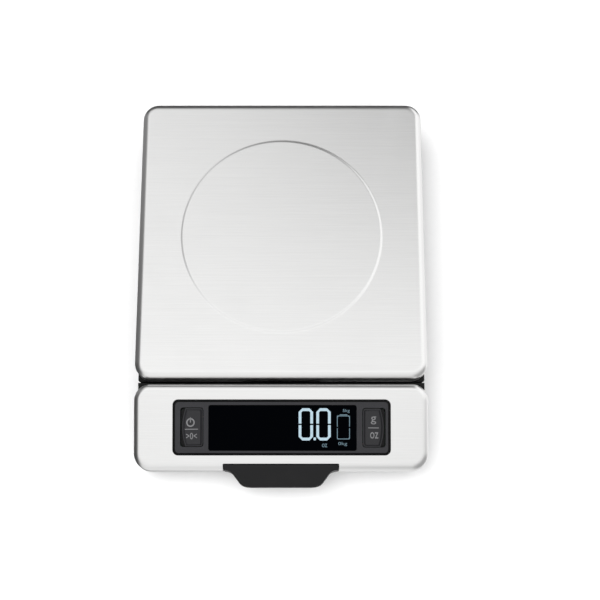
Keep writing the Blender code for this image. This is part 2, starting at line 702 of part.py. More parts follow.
def housing_solid(wall, bottom, top, corner):
    """The housing's outside, or its inside one wall in."""
    across = (-HOUSING_HALF + wall, HOUSING_HALF - wall)
    outline = rounded(across, (HOUSING_FRONT + wall, HOUSING_STEP - wall), corner, 4)
    return slope_top(prism(outline, bottom, top), FLOOR_TOP + 1 * MM)


def rear_block(wall, bottom, top):
    """The square-cornered part of the housing that stands in the gap behind the cover."""
    half = HOUSING_HALF - wall
    bm = block(((-half, HOUSING_STEP - 12 * MM, bottom), (half, HOUSING_REAR - wall, top)))
    return slope_top(bm, FLOOR_TOP + 1 * MM)


def make_housing():
    outside = housing_solid(0, FLOOR_BOTTOM, HOUSING_TOP, 8 * MM)
    housing = add_piece("display_housing", outside, "black_plastic", "display_slide")
    shape_with(housing, "rear", rear_block(0, FLOOR_BOTTOM, HOUSING_LEDGE), "UNION")
    inside = housing_solid(WALL, FLOOR_TOP, HOUSING_TOP + 2 * MM, 6 * MM)
    shape_with(housing, "hollow", inside)
    hollow_rear = rear_block(WALL, FLOOR_TOP, HOUSING_LEDGE - WALL)
    shape_with(housing, "hollow_rear", hollow_rear)
    slot = ((-ARM_HALF - 0.5 * MM, HOUSING_REAR - 3 * MM, FLOOR_TOP + 0.1 * MM),
            (ARM_HALF + 0.5 * MM, HOUSING_REAR + 1 * MM, ARM_Z[1] + 0.9 * MM))
    shape_with(housing, "arm_slot", block(slot))
    places = HOUSING_SCREWS + ARM_SCREWS
    shape_with(housing, "screw_holes", rods(places, 1.6 * MM, 2 * MM, 6 * MM, 10))
    shape_with(housing, "screw_sinks", rods(places, 3.1 * MM, 2 * MM, 4.3 * MM, 12))
    labels = [f"housing_screw_{side}_{end}" for side in ("left", "right") for end in ("front", "rear")]
    labels += ["arm_screw_left", "arm_screw_right"]
    tips = [12.5 * MM] * len(HOUSING_SCREWS) + [7.3 * MM] * len(ARM_SCREWS)
    for label, place, tip in zip(labels, places, tips):
        fastener = screw(place, 3.2 * MM, tip, 2.7 * MM, 1.1 * MM, 1 * MM)
        add_piece(label, fastener, "screw_steel", "display_slide")


def make_arm():
    front, (tail, end) = ARM_FRONT, ARM_TAIL
    half, wide = ARM_HALF, ARM_TAIL_HALF
    outline = [(-half, front), (half, front), (half, tail), (wide, tail), (wide, end),
               (-wide, end), (-wide, tail), (-half, tail)]
    arm = add_piece("slide_arm", prism(outline, *ARM_Z), "black_plastic", "display_slide")
    groove = ((-7 * MM, -60 * MM, ARM_Z[1] - 1.2 * MM), (7 * MM, end + 1 * MM, ARM_Z[1] + 1 * MM))
    shape_with(arm, "wire_groove", block(groove))
    holes = rods(ARM_SCREWS, 1.4 * MM, ARM_Z[0] - 1 * MM, 7.7 * MM, 10)
    shape_with(arm, "screw_holes", holes)


def make_handle():
    side = NOTCH_HALF - GAP
    back = NOTCH_BACK - GAP
    crease = DISPLAY_FRONT - 0.2 * MM
    shoulder = PANEL_TOP - drop_at(back)
    wall_front = HOUSING_FRONT - GAP
    profile = [(back, shoulder), (crease, shoulder - 1.2 * MM), (HANDLE_TIP, 15 * MM),
               (HANDLE_TIP, 12 * MM), (HANDLE_TIP + 1.2 * MM, HANDLE_BOTTOM),
               (wall_front, HANDLE_BOTTOM), (wall_front, 18.2 * MM), (back, 18.2 * MM)]
    handle = add_piece("pull_handle", side_prism(profile, side), "black_plastic", "display_slide")

    right = [(side, back + 1 * MM), (side, DISPLAY_FRONT)] + HANDLE_SIDE
    outline = right + [(-x, y) for x, y in reversed(right)]
    plan = prism(outline, HANDLE_BOTTOM - 1 * MM, DISPLAY_TOP)
    shape_with(handle, "plan", plan, "INTERSECT")


def make_panel():
    clear_x, clear_y = inset(PANEL_X, GAP), inset(PANEL_Y, GAP)
    flange_low, flange_high = PANEL_FLANGE
    flange = rounded((-74 * MM, 74 * MM), (-96.7 * MM, -60.5 * MM), 4 * MM, 3)
    bezel = add_piece(
        "panel_bezel", sheared(prism(flange, flange_low, flange_high)), "panel_plastic",
        "display_slide",
    )
    face = prism(rounded(clear_x, clear_y, 2.7 * MM, 4), flange_low + 0.6 * MM, PANEL_TOP)
    shape_with(bezel, "face", sheared(face), "UNION")
    bosses = bmesh.new()
    for x, y in HOUSING_SCREWS:
        rods([(x, y)], 3.4 * MM, FLOOR_TOP + GAP, flange_low + 0.8 * MM - drop_at(y), 12, bosses)
    shape_with(bezel, "bosses", bosses, "UNION")
    shape_with(bezel, "boss_holes", rods(HOUSING_SCREWS, 1.4 * MM, 4 * MM, 13.2 * MM, 10))

    floor = PANEL_TOP - 1.3 * MM
    seat = prism(
        rounded(inset(WINDOW_X, -GAP), inset(WINDOW_Y, -GAP), 1 * MM, 2), floor, DISPLAY_TOP
    )
    shape_with(bezel, "window_seat", sheared(seat))
    view_x, view_y = inset(WINDOW_X, 3 * MM), inset(WINDOW_Y, 2.4 * MM)
    views = prism(rounded(view_x, view_y, 0.5 * MM, 2), flange_low - 1 * MM, DISPLAY_TOP)
    shape_with(bezel, "display_opening", sheared(views))
    wells = [
        sheared(prism(button_outline(side, -GAP), flange_low - 1 * MM, DISPLAY_TOP))
        for side in BUTTON_CENTRES
    ]
    shape_with(bezel, "button_openings", joined(*wells))

    glass = prism(rounded(WINDOW_X, WINDOW_Y, 0.8 * MM, 2), floor + GAP, PANEL_TOP - 0.1 * MM)
    add_piece("display_window", sheared(glass), "window_glass", "display_slide")


def button_outline(side, by=0.0):
    x, y = BUTTON_CENTRES[side]
    half_x, half_y = BUTTON_SIZE[0] / 2, BUTTON_SIZE[1] / 2
    return rounded(inset((x - half_x, x + half_x), by), inset((y - half_y, y + half_y), by), BUTTON_CORNER, 3)


def make_buttons():
    for side, (x, y) in BUTTON_CENTRES.items():
        top = PANEL_TOP - 0.2 * MM
        low = PANEL_FLANGE[0] + 0.3 * MM
        cap = prism(button_outline(side), low, top)
        face = max(cap.faces, key=lambda item: item.calc_center_median().z)
        bmesh.ops.inset_region(cap, faces=[face], thickness=DISH_RIM, use_even_offset=True)
        bmesh.ops.translate(cap, vec=(0, 0, -DISH_DEPTH), verts=face.verts)
        button = add_piece(f"{side}_button", sheared(cap), "button_plastic", f"{side}_press")
        stem = rods([(x, y)], 2 * MM, BUTTON_STEM_END, low + 0.5 * MM, 12)
        shape_with(button, "stem", sheared(stem), "UNION")

        switch_top = BUTTON_STEM_END - 0.9 * MM
        half = 3 * MM
        body = block(((x - half, y - half, DISPLAY_BOARD_TOP + GAP), (x + half, y + half, switch_top)))
        add_piece(f"{side}_switch", sheared(body), "screw_steel", "display_slide")


def make_display_stack():
    """Display module, its light guide and the board that carries them, level and then sheared."""
    left, right = WINDOW_X[0] + 1.5 * MM, WINDOW_X[1] - 1.5 * MM
    front, back = WINDOW_Y[0] + 0.6 * MM, WINDOW_Y[1] - 0.6 * MM
    layers = (
        ("lcd_module", "display_glass", left, right, 25.9 * MM, 28.1 * MM),
        ("backlight", "white_plastic", left + 1 * MM, right - 1 * MM, 22.9 * MM, 25.6 * MM),
    )
    for name, paint, x0, x1, low, high in layers:
        slab = block(((x0, front, low), (x1, back, high)))
        add_piece(name, sheared(slab), paint, "display_slide")
    board = block((
        (-60 * MM, -95 * MM, DISPLAY_BOARD_TOP - 1.6 * MM), (62 * MM, -61.5 * MM, DISPLAY_BOARD_TOP)
    ))
    add_piece("display_board", sheared(board), "board_green", "display_slide")


def main():
    clear_scene()
    make_joints()
    make_platform()
    make_carrier()
    make_load_cell()
    make_tray()
    make_deck()
    make_feet()
    make_guide()
    make_junction()
    make_batteries()
    make_cover()
    make_housing()
    make_arm()
    make_handle()
    make_panel()
    make_buttons()
    make_display_stack()


main()
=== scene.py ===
import json
from math import cos, pi, radians, sin, tan

import bmesh
import bpy
from bpy.props import FloatProperty, FloatVectorProperty, PointerProperty
from mathutils import Matrix, Vector


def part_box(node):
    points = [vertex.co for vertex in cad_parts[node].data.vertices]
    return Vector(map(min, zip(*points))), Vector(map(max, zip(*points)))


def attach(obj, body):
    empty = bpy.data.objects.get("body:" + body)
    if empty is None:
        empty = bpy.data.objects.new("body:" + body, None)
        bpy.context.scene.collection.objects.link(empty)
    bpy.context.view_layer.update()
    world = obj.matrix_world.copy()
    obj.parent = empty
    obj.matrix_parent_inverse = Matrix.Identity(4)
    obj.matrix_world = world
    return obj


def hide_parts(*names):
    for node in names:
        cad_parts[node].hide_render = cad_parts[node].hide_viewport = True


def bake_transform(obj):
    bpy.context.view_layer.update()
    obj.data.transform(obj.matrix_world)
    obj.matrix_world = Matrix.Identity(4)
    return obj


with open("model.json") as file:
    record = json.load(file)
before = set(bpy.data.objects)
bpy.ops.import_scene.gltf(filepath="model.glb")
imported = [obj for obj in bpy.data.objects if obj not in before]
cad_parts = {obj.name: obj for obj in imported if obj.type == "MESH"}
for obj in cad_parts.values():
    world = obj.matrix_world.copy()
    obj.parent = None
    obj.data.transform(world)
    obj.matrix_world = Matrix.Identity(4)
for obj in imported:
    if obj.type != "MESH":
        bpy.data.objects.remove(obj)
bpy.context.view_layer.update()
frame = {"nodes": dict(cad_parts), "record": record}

bl_info = {
    "name": "Kitchen scale",
    "version": (1, 0, 0),
    "blender": (4, 5, 0),
    "location": "3D View > Sidebar > Scale",
    "description": "Builds a steel kitchen scale with a pull-out display around its frame",
    "category": "Add Mesh",
}

MM = 0.001
CLOSE = 1e-6


def mm(*values):
    """Millimetres as metres; a pair or triple among them stays together."""
    return tuple(mm(*value) if isinstance(value, tuple) else value * MM for value in values)


move, turn_by = Matrix.Translation, Matrix.Rotation

# Steel covers
CORNER = 9 * MM
SHEET = 0.8 * MM
PLATFORM_EDGE = 4 * MM
RING_CENTRE_Y = 30.1 * MM
RING_STEPS = 8
DISPLAY_EDGE = 3.8 * MM

# Display unit, drawn level and then sheared down towards the front
DISPLAY_REAR = -55.1 * MM
DISPLAY_FRONT = -101.3 * MM
DISPLAY_TOP = 31.4 * MM
DISPLAY_FALL = tan(radians(12.5))
DISPLAY_DEPTH = 10.5 * MM
NOTCH_HALF = 31.9 * MM
NOTCH_BACK = -98.1 * MM

# Panel and window: where they start and end along X and Y
PANEL_X, PANEL_Y = mm(-59.4, 60.1), mm(-93.7, -63.9)
PANEL_TOP = DISPLAY_TOP - 0.4 * MM
PANEL_GROOVE = 1.25 * MM
WINDOW_X, WINDOW_Y = mm(-39.5, 41.2), mm(-90.9, -67.1)
WINDOW_Z = (PANEL_TOP - 1 * MM, PANEL_TOP - 0.1 * MM)

# Readout: each mark's start and end along X and Y
DIGITS_X, DIGITS_Y = (mm(9.7, 17.6), mm(19.4, 27.3)), mm(-85.7, -68.5)
POINT = mm((17.85, 19.2), (-85.6, -84.1))
GAUGE = mm((30.7, 37.8), (-85.1, -72.4))
GAUGE_TIP = mm((32.2, 36.4), (-72.2, -71.8))
READOUT_LABELS = (
    ("oz", *mm((22.5, 25.3), (-89.3, -87.4))),
    ("5kg", *mm((33.9, 37.7), (-71, -69))),
    ("0kg", *mm((31.4, 36.3), (-88.7, -86.5))),
)

# Buttons: middle and outward side, then the marks printed on them
BUTTONS = {"power": (-48.9 * MM, -78.6 * MM, -1), "unit": (51 * MM, -78.9 * MM, 1)}
BUTTON_SIZE = mm(12, 20.4)
BUTTON_Z = mm(28.7, 30.8)
BUTTON_CORNER = 1.5 * MM
BUTTON_SCOOP = ((0.12, 0.05), (0.38, 0), (0.14, -0.12), (0.2, -0.3), (0.26, -0.2), (0.2, -0.05))
BUTTON_BULGE = 30 * MM
BUTTON_FLANGE = 0.7 * MM
SCOOP_LEAN = 0.45 * MM
PRINTED = 0.05 * MM
SWITCH_RING = mm(-49.7, -76)
STROKES = {
    "power": (mm((-49.95, -49.45), (-76, -73.3)), mm((-52.8, -45.5), (-79.8, -79.4))),
    "unit": (mm((47.8, 53.8), (-79.1, -78.7)),),
}
SIGNS = {
    "power": ((">0<", *mm((-52.1, -46.1), (-85, -81.5))),),
    "unit": (("g", *mm((49.3, 52.3), (-77, -72.8))), ("oz", *mm((48.9, 53.5), (-84.6, -81.2)))),
}

# Base, feet, load cell and batteries
BASE_SIDE, BASE_REAR = 74 * MM, 104 * MM
FOOT_X = 65 * MM
FEET = {"front": -40 * MM, "rear": 97 * MM}
CELL_BEND = 25 * MM
DOOR_FRONT = 79 * MM
BATTERY_RADIUS = 5.25 * MM
BATTERY_Z = 11 * MM
CONTACT_HALF = 4.6 * MM
CONTACT_SHEET = 0.5 * MM
SPRING_WIRE = 0.25 * MM
SPRING_TURNS = 4.5
SPRING_POINTS = 110

# What stands on the junction board, in millimetres: chips as place, half size and pins a side
CHIPS = ((50, 2, 3.2, 7), (46.5, -9.5, 2, 4))
CANS = ((57.5, 10), (57.5, -10.5))
RESISTORS = (
    (56.5, -3), (56.5, -0.5), (56.5, 2), (56.5, 4.5), (52, -7), (52, -9), (52, -11), (43.5, 8),
)

# Screws
THREAD_PITCH = 0.8 * MM
THREAD_DEPTH = 0.18 * MM

# Studio
LENS, SENSOR = 69.21, 36
CAMERA_PLACE = (0.0104465, -0.168787)
LIGHTS = (("key", (-0.68, 0.22, 1.15), 1.7, 1.0), ("fill", (0.45, -0.95, 1.1), 1.6, 0.58))
FLOOR_HALF = 8
BACKDROP_RADIUS = 7.5
DIAGONAL = 0.7071
BLACK, WHITE = (0, 0, 0, 1), (1, 1, 1, 1)


# Finishes

def arithmetic(operation, swapped=False):
    def apply(self, other):
        pair = (other, self) if swapped else (self, other)
        return self.finish.math(operation, *pair)
    return apply


class Amount:
    """A number that varies over a surface; arithmetic on it adds Math nodes."""

    def __init__(self, finish, socket):
        self.finish, self.socket = finish, socket

    __add__ = __radd__ = arithmetic("ADD")
    __mul__ = __rmul__ = arithmetic("MULTIPLY")
    __sub__, __rsub__ = arithmetic("SUBTRACT"), arithmetic("SUBTRACT", True)
    __pow__ = arithmetic("POWER")


class Nodes:
    """A node tree and the coordinates that its nodes read."""

    def __init__(self, tree, coordinates):
        self.tree = tree
        self.place = self.node("ShaderNodeTexCoord").outputs[coordinates]

    def node(self, kind, settings=None, inputs=None):
        made = self.tree.nodes.new(kind)
        for name, value in (settings or {}).items():
            setattr(made, name, value)
        for name, value in (inputs or {}).items():
            self.feed(made.inputs[name], value)
        return made

    def feed(self, socket, value):
        value = value.socket if isinstance(value, Amount) else value
        if isinstance(value, bpy.types.NodeSocket):
            self.tree.links.new(value, socket)
        else:
            socket.default_value = value

    def math(self, operation, first, second):
        made = self.node("ShaderNodeMath", {"operation": operation}, {0: first, 1: second})
        return Amount(self, made.outputs[0])

    def texture(self, kind, output, scale, **inputs):
        """A texture scaled along each axis, in cycles a metre, or the same along all of them."""
        scale = scale if isinstance(scale, tuple) else (scale,) * 3
        mapping = self.node("ShaderNodeMapping", {}, {"Vector": self.place, "Scale": scale})
        inputs.update(Vector=mapping.outputs["Vector"], Scale=1.0)
        return Amount(self, self.node(kind, {}, inputs).outputs[output])

    def noise(self, scale, detail=2.0, roughness=0.5):
        return self.texture("ShaderNodeTexNoise", "Fac", scale, Detail=detail, Roughness=roughness)

    def cells(self, scale):
        return self.texture("ShaderNodeTexVoronoi", "Distance", scale)

    def along(self, axis):
        """The coordinate along X, Y or Z, in metres."""
        made = self.node("ShaderNodeSeparateXYZ", {}, {"Vector": self.place})
        return Amount(self, made.outputs[axis])

    def ramp(self, amount, start, end):
        """Nought below start, one above end, smooth between them."""
        made = self.node(
            "ShaderNodeMapRange", {"interpolation_type": "SMOOTHSTEP"},
            {"Value": amount, "From Min": start, "From Max": end},
        )
        return Amount(self, made.outputs["Result"])

    def blended(self, first, second, share):
        """A colour that goes from the first to the second with share."""
        made = self.node("ShaderNodeMix", {"data_type": "RGBA"})
        for index, value in ((0, share), (6, first), (7, second)):
            self.feed(made.inputs[index], value)
        return made.outputs[2]


class Finish(Nodes):
    """One material with its shader."""

    def __init__(self, name, **constants):
        self.material = bpy.data.materials.new(name)
        self.material.use_nodes = True
        super().__init__(self.material.node_tree, "Object")
        self.shader = self.tree.nodes["Principled BSDF"]
        self.vary(**constants)

    def tones(self, colour, dark, light, share):
        """The colour from a darker to a lighter tone of itself."""
        return self.blended(shade(colour, dark), shade(colour, light), share)

    def vary(self, **sockets):
        for name, value in sockets.items():
            self.feed(self.shader.inputs[name.replace("_", " ")], value)

    def surface(self, colour, roughness, height, distance, strength=1.0, **others):
        """Colours the material and raises it by distance, in metres, where height is one."""
        inputs = {"Height": height, "Distance": distance, "Strength": strength}
        bump = self.node("ShaderNodeBump", {}, inputs).outputs["Normal"]
        self.vary(Base_Color=colour, Roughness=roughness, Normal=bump, **others)
        return self.material


def shade(colour, by=1.0):
    return (*(channel * by for channel in tuple(colour)[:3]), 1)


def brushed_steel(name, colour, roughness):
    """Sheet steel with a fine straight grain across the scale and faint handling marks."""
    finish = Finish(name, Metallic=1.0)
    grain = finish.noise((60, 9000, 9000), 3, 0.6)
    threads = finish.noise((14, 2600, 2600), 2, 0.5)
    marks = finish.ramp(finish.noise((38, 30, 38), 4, 0.6), 0.45, 0.75)
    streaks = grain * 0.6 + threads * 0.4
    tone = finish.tones(colour, 0.84, 1.1, streaks)
    gloss = roughness - 0.04 + streaks * 0.06 + marks * 0.03
    return finish.surface(tone, gloss, streaks, 0.003 * MM, 0.5)


def moulded_plastic(name, colour, roughness, grain=0.03, size=0.35, specular=0.2):
    """Spark-textured moulded plastic, a little rubbed where hands reach."""
    finish = Finish(name, Specular_IOR_Level=specular)
    per_metre = 1 / (size * MM)
    sparks = finish.noise(per_metre, 3, 0.6)
    pits = finish.cells(per_metre * 0.7)
    rubbed = finish.ramp(finish.noise(45, 4, 0.6), 0.5, 0.75)
    tone = finish.tones(colour, 0.8, 1.25, sparks * 0.7 + rubbed * 0.3)
    gloss = roughness + sparks * 0.08 - rubbed * 0.07
    return finish.surface(tone, gloss, sparks * 0.7 + pits * 0.5, grain * MM, 0.6)


def dark_window(name, colour):
    """Smoked acrylic over the display: smooth, with the faintest ripple and dust."""
    finish = Finish(name, Specular_IOR_Level=0.006)
    dust = finish.ramp(finish.noise(2200), 0.68, 0.8)
    ripple = finish.noise(60, 1)
    tone = finish.tones(colour, 1, 1.6, dust)
    return finish.surface(tone, 0.06 + dust * 0.15 + ripple * 0.03, ripple, 0.002 * MM, 0.3)


def glowing(name, colour, strength):
    """Lit segments, with the dots of the light guide."""
    finish = Finish(name, Roughness=0.4, Specular_IOR_Level=0.1, Emission_Strength=strength)
    dots = finish.noise(900, 1)
    finish.vary(
        Base_Color=finish.tones(colour, 0.1, 0.2, dots),
        Emission_Color=finish.tones(colour, 0.88, 1.08, dots),
    )
    return finish.material


def circuit_board(name, mask, copper):
    """Solder mask over copper: tracks show as raised lighter lines."""
    finish = Finish(name)
    columns = finish.ramp(finish.noise((180, 1200, 1), 0), 0.52, 0.54)
    rows = finish.ramp(finish.noise((1200, 180, 1), 0), 0.55, 0.57)
    tracks = columns * 0.5 + rows * 0.5
    pads = 1 - finish.ramp(finish.cells((260, 260, 1)), 0.12, 0.16)
    tone = finish.blended(finish.tones(mask, 1, 1.9, tracks), shade(copper), pads)
    return finish.surface(tone, 0.42 - pads * 0.12, tracks + pads, 0.04 * MM, Metallic=pads)


def foot_rubber(name, colour):
    """Matt grey rubber that has picked up a little dust."""
    finish = Finish(name, Specular_IOR_Level=0.25)
    grain = finish.noise(3000, 4, 0.65)
    dust = finish.ramp(finish.noise(260, 5, 0.7), 0.5, 0.75)
    tone = finish.tones(colour, 0.75, 1.5, grain * 0.5 + dust * 0.5)
    return finish.surface(tone, 0.78 + dust * 0.15, grain, 0.03 * MM, 0.7)


def clouded(name, colour, size, tones, gloss, depth, **constants):
    """A soft material with faint clouds: pad-printed ink, or milky silicone."""
    finish = Finish(name, **constants)
    cloud = finish.noise(size, 3)
    tone = finish.tones(colour, *tones, cloud)
    return finish.surface(tone, 0.5 + cloud * gloss, cloud, depth * MM, 0.4)


def milled_metal(name, colour, roughness, across=3000, along=90):
    """Metal with the fine parallel marks of a cutter or a die."""
    finish = Finish(name, Metallic=1.0)
    passes = finish.noise((along, across, across), 3, 0.6)
    stain = finish.noise(150, 4, 0.6)
    tone = finish.tones(colour, 0.82, 1.06, passes * 0.6 + stain * 0.4)
    return finish.surface(tone, roughness + stain * 0.1 + passes * 0.06, passes, 0.006 * MM, 0.6)


def gauge_film(name, film, foil):
    """Amber film with the folded line of the resistance foil."""
    finish = Finish(name, Coat_Weight=0.3)
    wave = finish.ramp(finish.noise((10, 1700, 1), 0), 0.48, 0.54)
    tone = finish.blended(shade(film), shade(foil), wave)
    return finish.surface(tone, 0.35 + wave * 0.15, wave, 0.02 * MM, Metallic=wave * 0.6)


def battery_label(name, dark, band):
    """Printed sleeve: a dark body with a lighter band and hairline rules."""
    finish = Finish(name, Coat_Weight=0.4, Coat_Roughness=0.12)
    out = finish.math("ABSOLUTE", finish.along("X"), 0.0)
    banded = finish.ramp(out, 34 * MM, 34.2 * MM)
    rule = finish.ramp(out, 32.6 * MM, 32.7 * MM) - finish.ramp(out, 33.2 * MM, 33.3 * MM)
    rub = finish.noise(350, 4, 0.6)
    bright = banded + rule
    tone = finish.blended(finish.tones(dark, 0.8, 1.3, rub), shade(band), bright)
    return finish.surface(tone, 0.28 + rub * 0.12, rub, 0.01 * MM, 0.4, Metallic=bright * 0.7)


def light_guide(name, colour):
    """Translucent white guide with its grid of light dots."""
    finish = Finish(name, Subsurface_Weight=0.3, Subsurface_Scale=0.002)
    dots = 1 - finish.ramp(finish.cells(700), 0.2, 0.35)
    tone = finish.tones(colour, 0.85, 1.1, dots)
    return finish.surface(tone, 0.35 + dots * 0.3, dots, 0.02 * MM)


def flat_lead(name, light, dark, pitch):
    """Insulated wires side by side, with the seam between each pair."""
    finish = Finish(name)
    wires = finish.noise((1, 1, 1 / pitch), 0)
    scuff = finish.noise(900, 3)
    seams = finish.ramp(wires, 0.45, 0.6) * 0.7 + scuff * 0.3
    tone = finish.blended(shade(light), shade(dark), seams)
    return finish.surface(tone, 0.42 + scuff * 0.15, wires, 0.05 * MM)


def finishes(sizes):
    """Every finish, made once from the colours of the settings."""
    recipes = {
        "brushed_steel": (brushed_steel, sizes.steel_colour, 0.3),
        "body_plastic": (moulded_plastic, sizes.plastic_colour, 0.5),
        "handle_plastic": (moulded_plastic, sizes.handle_colour, 0.42, 0.018, 0.25, 0.18),
        "panel_plastic": (moulded_plastic, sizes.panel_colour, 0.42, 0.015, 0.25, 0.2),
        "button_plastic": (moulded_plastic, sizes.button_colour, 0.4, 0.012, 0.25, 0.3),
        "guide_plastic": (moulded_plastic, (0.7, 0.7, 0.67), 0.4, 0.01, 0.5, 0.4),
        "window_acrylic": (dark_window, (0.0003, 0.0005, 0.001)),
        "digit_glow": (glowing, sizes.digit_colour, 1.0),
        "gauge_glow": (glowing, sizes.gauge_colour, 0.28),
        "circuit_board": (circuit_board, (0.015, 0.11, 0.05), (0.72, 0.5, 0.25)),
        "foot_rubber": (foot_rubber, (0.09, 0.09, 0.092)),
        "cell_aluminium": (milled_metal, (0.8, 0.81, 0.82), 0.3),
        "screw_steel": (milled_metal, (0.62, 0.61, 0.6), 0.26, 1500, 1500),
        "contact_nickel": (milled_metal, (0.72, 0.69, 0.62), 0.24, 1200, 300),
        "battery_metal": (milled_metal, (0.74, 0.73, 0.71), 0.25, 1800, 1800),
        "battery_label": (battery_label, (0.025, 0.06, 0.12), (0.6, 0.61, 0.62)),
        "gauge_film": (gauge_film, (0.62, 0.3, 0.06), (0.7, 0.62, 0.5)),
        "display_glass": (dark_window, (0.012, 0.02, 0.02)),
        "light_guide": (light_guide, (0.85, 0.86, 0.86)),
        "ribbon_insulation": (flat_lead, (0.36, 0.36, 0.37), (0.2, 0.2, 0.21), 0.5 * MM),
        "lead_insulation": (flat_lead, (0.45, 0.02, 0.015), (0.3, 0.01, 0.01), 2 * MM),
    }
    made = {name: make(name, *values) for name, (make, *values) in recipes.items()}
    made["icon_ink"] = clouded(
        "icon_ink", (0.17, 0.17, 0.175), 2500, (0.8, 1.1), 0.15, 0.01, Specular_IOR_Level=0.3
    )
    made["pad_silicone"] = clouded(
        "pad_silicone", (0.78, 0.78, 0.74), 400, (0.88, 1.04), 0.2, 0.02,
        Specular_IOR_Level=0.4, Subsurface_Weight=0.2, Subsurface_Scale=0.002,
    )
    return made


PAINTS = {}


# Shapes

def cuboid(low, high):
    """A box from its lowest to its highest corner."""
    bm = bmesh.new()
    middle, size = (Vector(low) + Vector(high)) / 2, Vector(high) - Vector(low)
    matrix = move(middle) @ Matrix.Diagonal((*size, 1))
    bmesh.ops.create_cube(bm, size=1, matrix=matrix)
    return bm


def edges_at(bm, height):
    return [edge for edge in bm.edges if all(abs(vert.co.z - height) < CLOSE for vert in edge.verts)]


def uprights(bm):
    return [
        edge for edge in bm.edges
        if (edge.verts[0].co.xy - edge.verts[1].co.xy).length < CLOSE
    ]


def bevelled(bm, edges, radius, steps, clamp=True):
    bmesh.ops.bevel(
        bm, geom=edges, offset=radius, affect="EDGES", segments=steps, profile=0.5,
        material=-1, clamp_overlap=clamp,
    )
    return bm


def slab(low, high, corner, steps=6):
    """A flat box with round upright edges."""
    bm = cuboid(low, high)
    return bevelled(bm, uprights(bm), corner, steps)


def tile(across, along, up, corner, steps=6, margin=0.0):
    """A slab from where it starts and ends along X, Y and Z, widened by a margin along X and Y."""
    low = (across[0] - margin, along[0] - margin, up[0])
    return slab(low, (across[1] + margin, along[1] + margin, up[1]), corner, steps)


def sharp_edges(bm, angle=35):
    return [
        edge for edge in bm.edges
        if len(edge.link_faces) == 2 and edge.calc_face_angle() > radians(angle)
    ]


def merged(node):
    """A copy of a frame node's mesh with its loose triangles joined into flat faces."""
    bm = bmesh.new()
    bm.from_mesh(frame["nodes"][node].data)
    bmesh.ops.remove_doubles(bm, verts=bm.verts, dist=CLOSE)
    bmesh.ops.dissolve_limit(bm, angle_limit=radians(0.4), verts=bm.verts, edges=bm.edges)
    return bm


def softened(node, radius, steps=2, rim=None, rim_radius=0.0):
    """A frame node as it comes from the mould, with every hard edge rounded.

    Edges of its underside whose ends pass the rim test get the rim's radius.
    """
    bm = merged(node)
    if rim:
        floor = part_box(node)[0].z + CLOSE
        under = [edge for edge in sharp_edges(bm) if all(vert.co.z < floor for vert in edge.verts)]
        outer = [edge for edge in under if rim(*(vert.co for vert in edge.verts))]
        bevelled(bm, outer, rim_radius, 4, False)
    return bevelled(bm, sharp_edges(bm), radius, steps, False)


def lathe(profile, matrix, steps=32):
    """A solid turned about Z from (radius, height) points that start and end on the axis."""
    bm = bmesh.new()
    verts = [bm.verts.new((radius, 0, height)) for radius, height in profile]
    edges = [bm.edges.new(pair) for pair in zip(verts, verts[1:])]
    bmesh.ops.spin(
        bm, geom=verts + edges, cent=(0, 0, 0), axis=(0, 0, 1), angle=2 * pi, steps=steps,
        use_merge=True,
    )
    bmesh.ops.remove_doubles(bm, verts=bm.verts, dist=CLOSE)
    bmesh.ops.recalc_face_normals(bm, faces=bm.faces)
    bmesh.ops.transform(bm, matrix=matrix, verts=bm.verts)
    return bm


def placed(name, bm):
    """A new object in the scene that holds a bmesh."""
    mesh = bpy.data.meshes.new(name)
    bm.to_mesh(mesh)
    bm.free()
    obj = bpy.data.objects.new(name, mesh)
    bpy.context.collection.objects.link(obj)
    return obj


def carved(bm, tool, operation="DIFFERENCE"):
    """One closed mesh cut by, joined to or trimmed by another."""
    pair = [placed("blank", source) for source in (bm, tool)]
    modifier = pair[0].modifiers.new("carve", "BOOLEAN")
    modifier.operation, modifier.solver, modifier.object = operation, "EXACT", pair[1]
    result = bmesh.new()
    result.from_object(pair[0], bpy.context.evaluated_depsgraph_get())
    for obj in pair:
        bpy.data.meshes.remove(obj.data)
    bmesh.ops.remove_doubles(result, verts=result.verts, dist=CLOSE)
    return result


def gathered(*parts):
    """One bmesh that holds several separate solids."""
    whole = bmesh.new()
    for part in parts:
        obj = placed("part", part)
        whole.from_mesh(obj.data)
        bpy.data.meshes.remove(obj.data)
    return whole


def sloped(bm):
    """Slopes a level drawing down with the display unit's face."""
    matrix = Matrix.Identity(4)
    matrix[2][1] = DISPLAY_FALL
    matrix[2][3] = -DISPLAY_FALL * DISPLAY_REAR
    bmesh.ops.transform(bm, matrix=matrix, verts=bm.verts)
    return bm


def of_curve(curve, near):
    """The mesh of a curve or a text, its doubles nearer than near merged."""
    obj = bpy.data.objects.new(curve.name, curve)
    bpy.context.collection.objects.link(obj)
    bm = bmesh.new()
    bm.from_mesh(obj.evaluated_get(bpy.context.evaluated_depsgraph_get()).to_mesh())
    bpy.data.curves.remove(curve)
    bmesh.ops.remove_doubles(bm, verts=bm.verts, dist=near)
    return bm


def tube(points, radius):
    """A round wire through a row of points."""
    curve = bpy.data.curves.new("wire", "CURVE")
    curve.dimensions, curve.use_fill_caps = "3D", True
    curve.bevel_depth, curve.bevel_resolution = radius, 3
    spline = curve.splines.new("POLY")
    spline.points.add(len(points) - 1)
    for point, at in zip(spline.points, points):
        point.co = (*at, 1)
    bm = of_curve(curve, CLOSE)
    bmesh.ops.recalc_face_normals(bm, faces=bm.faces)
    return bm


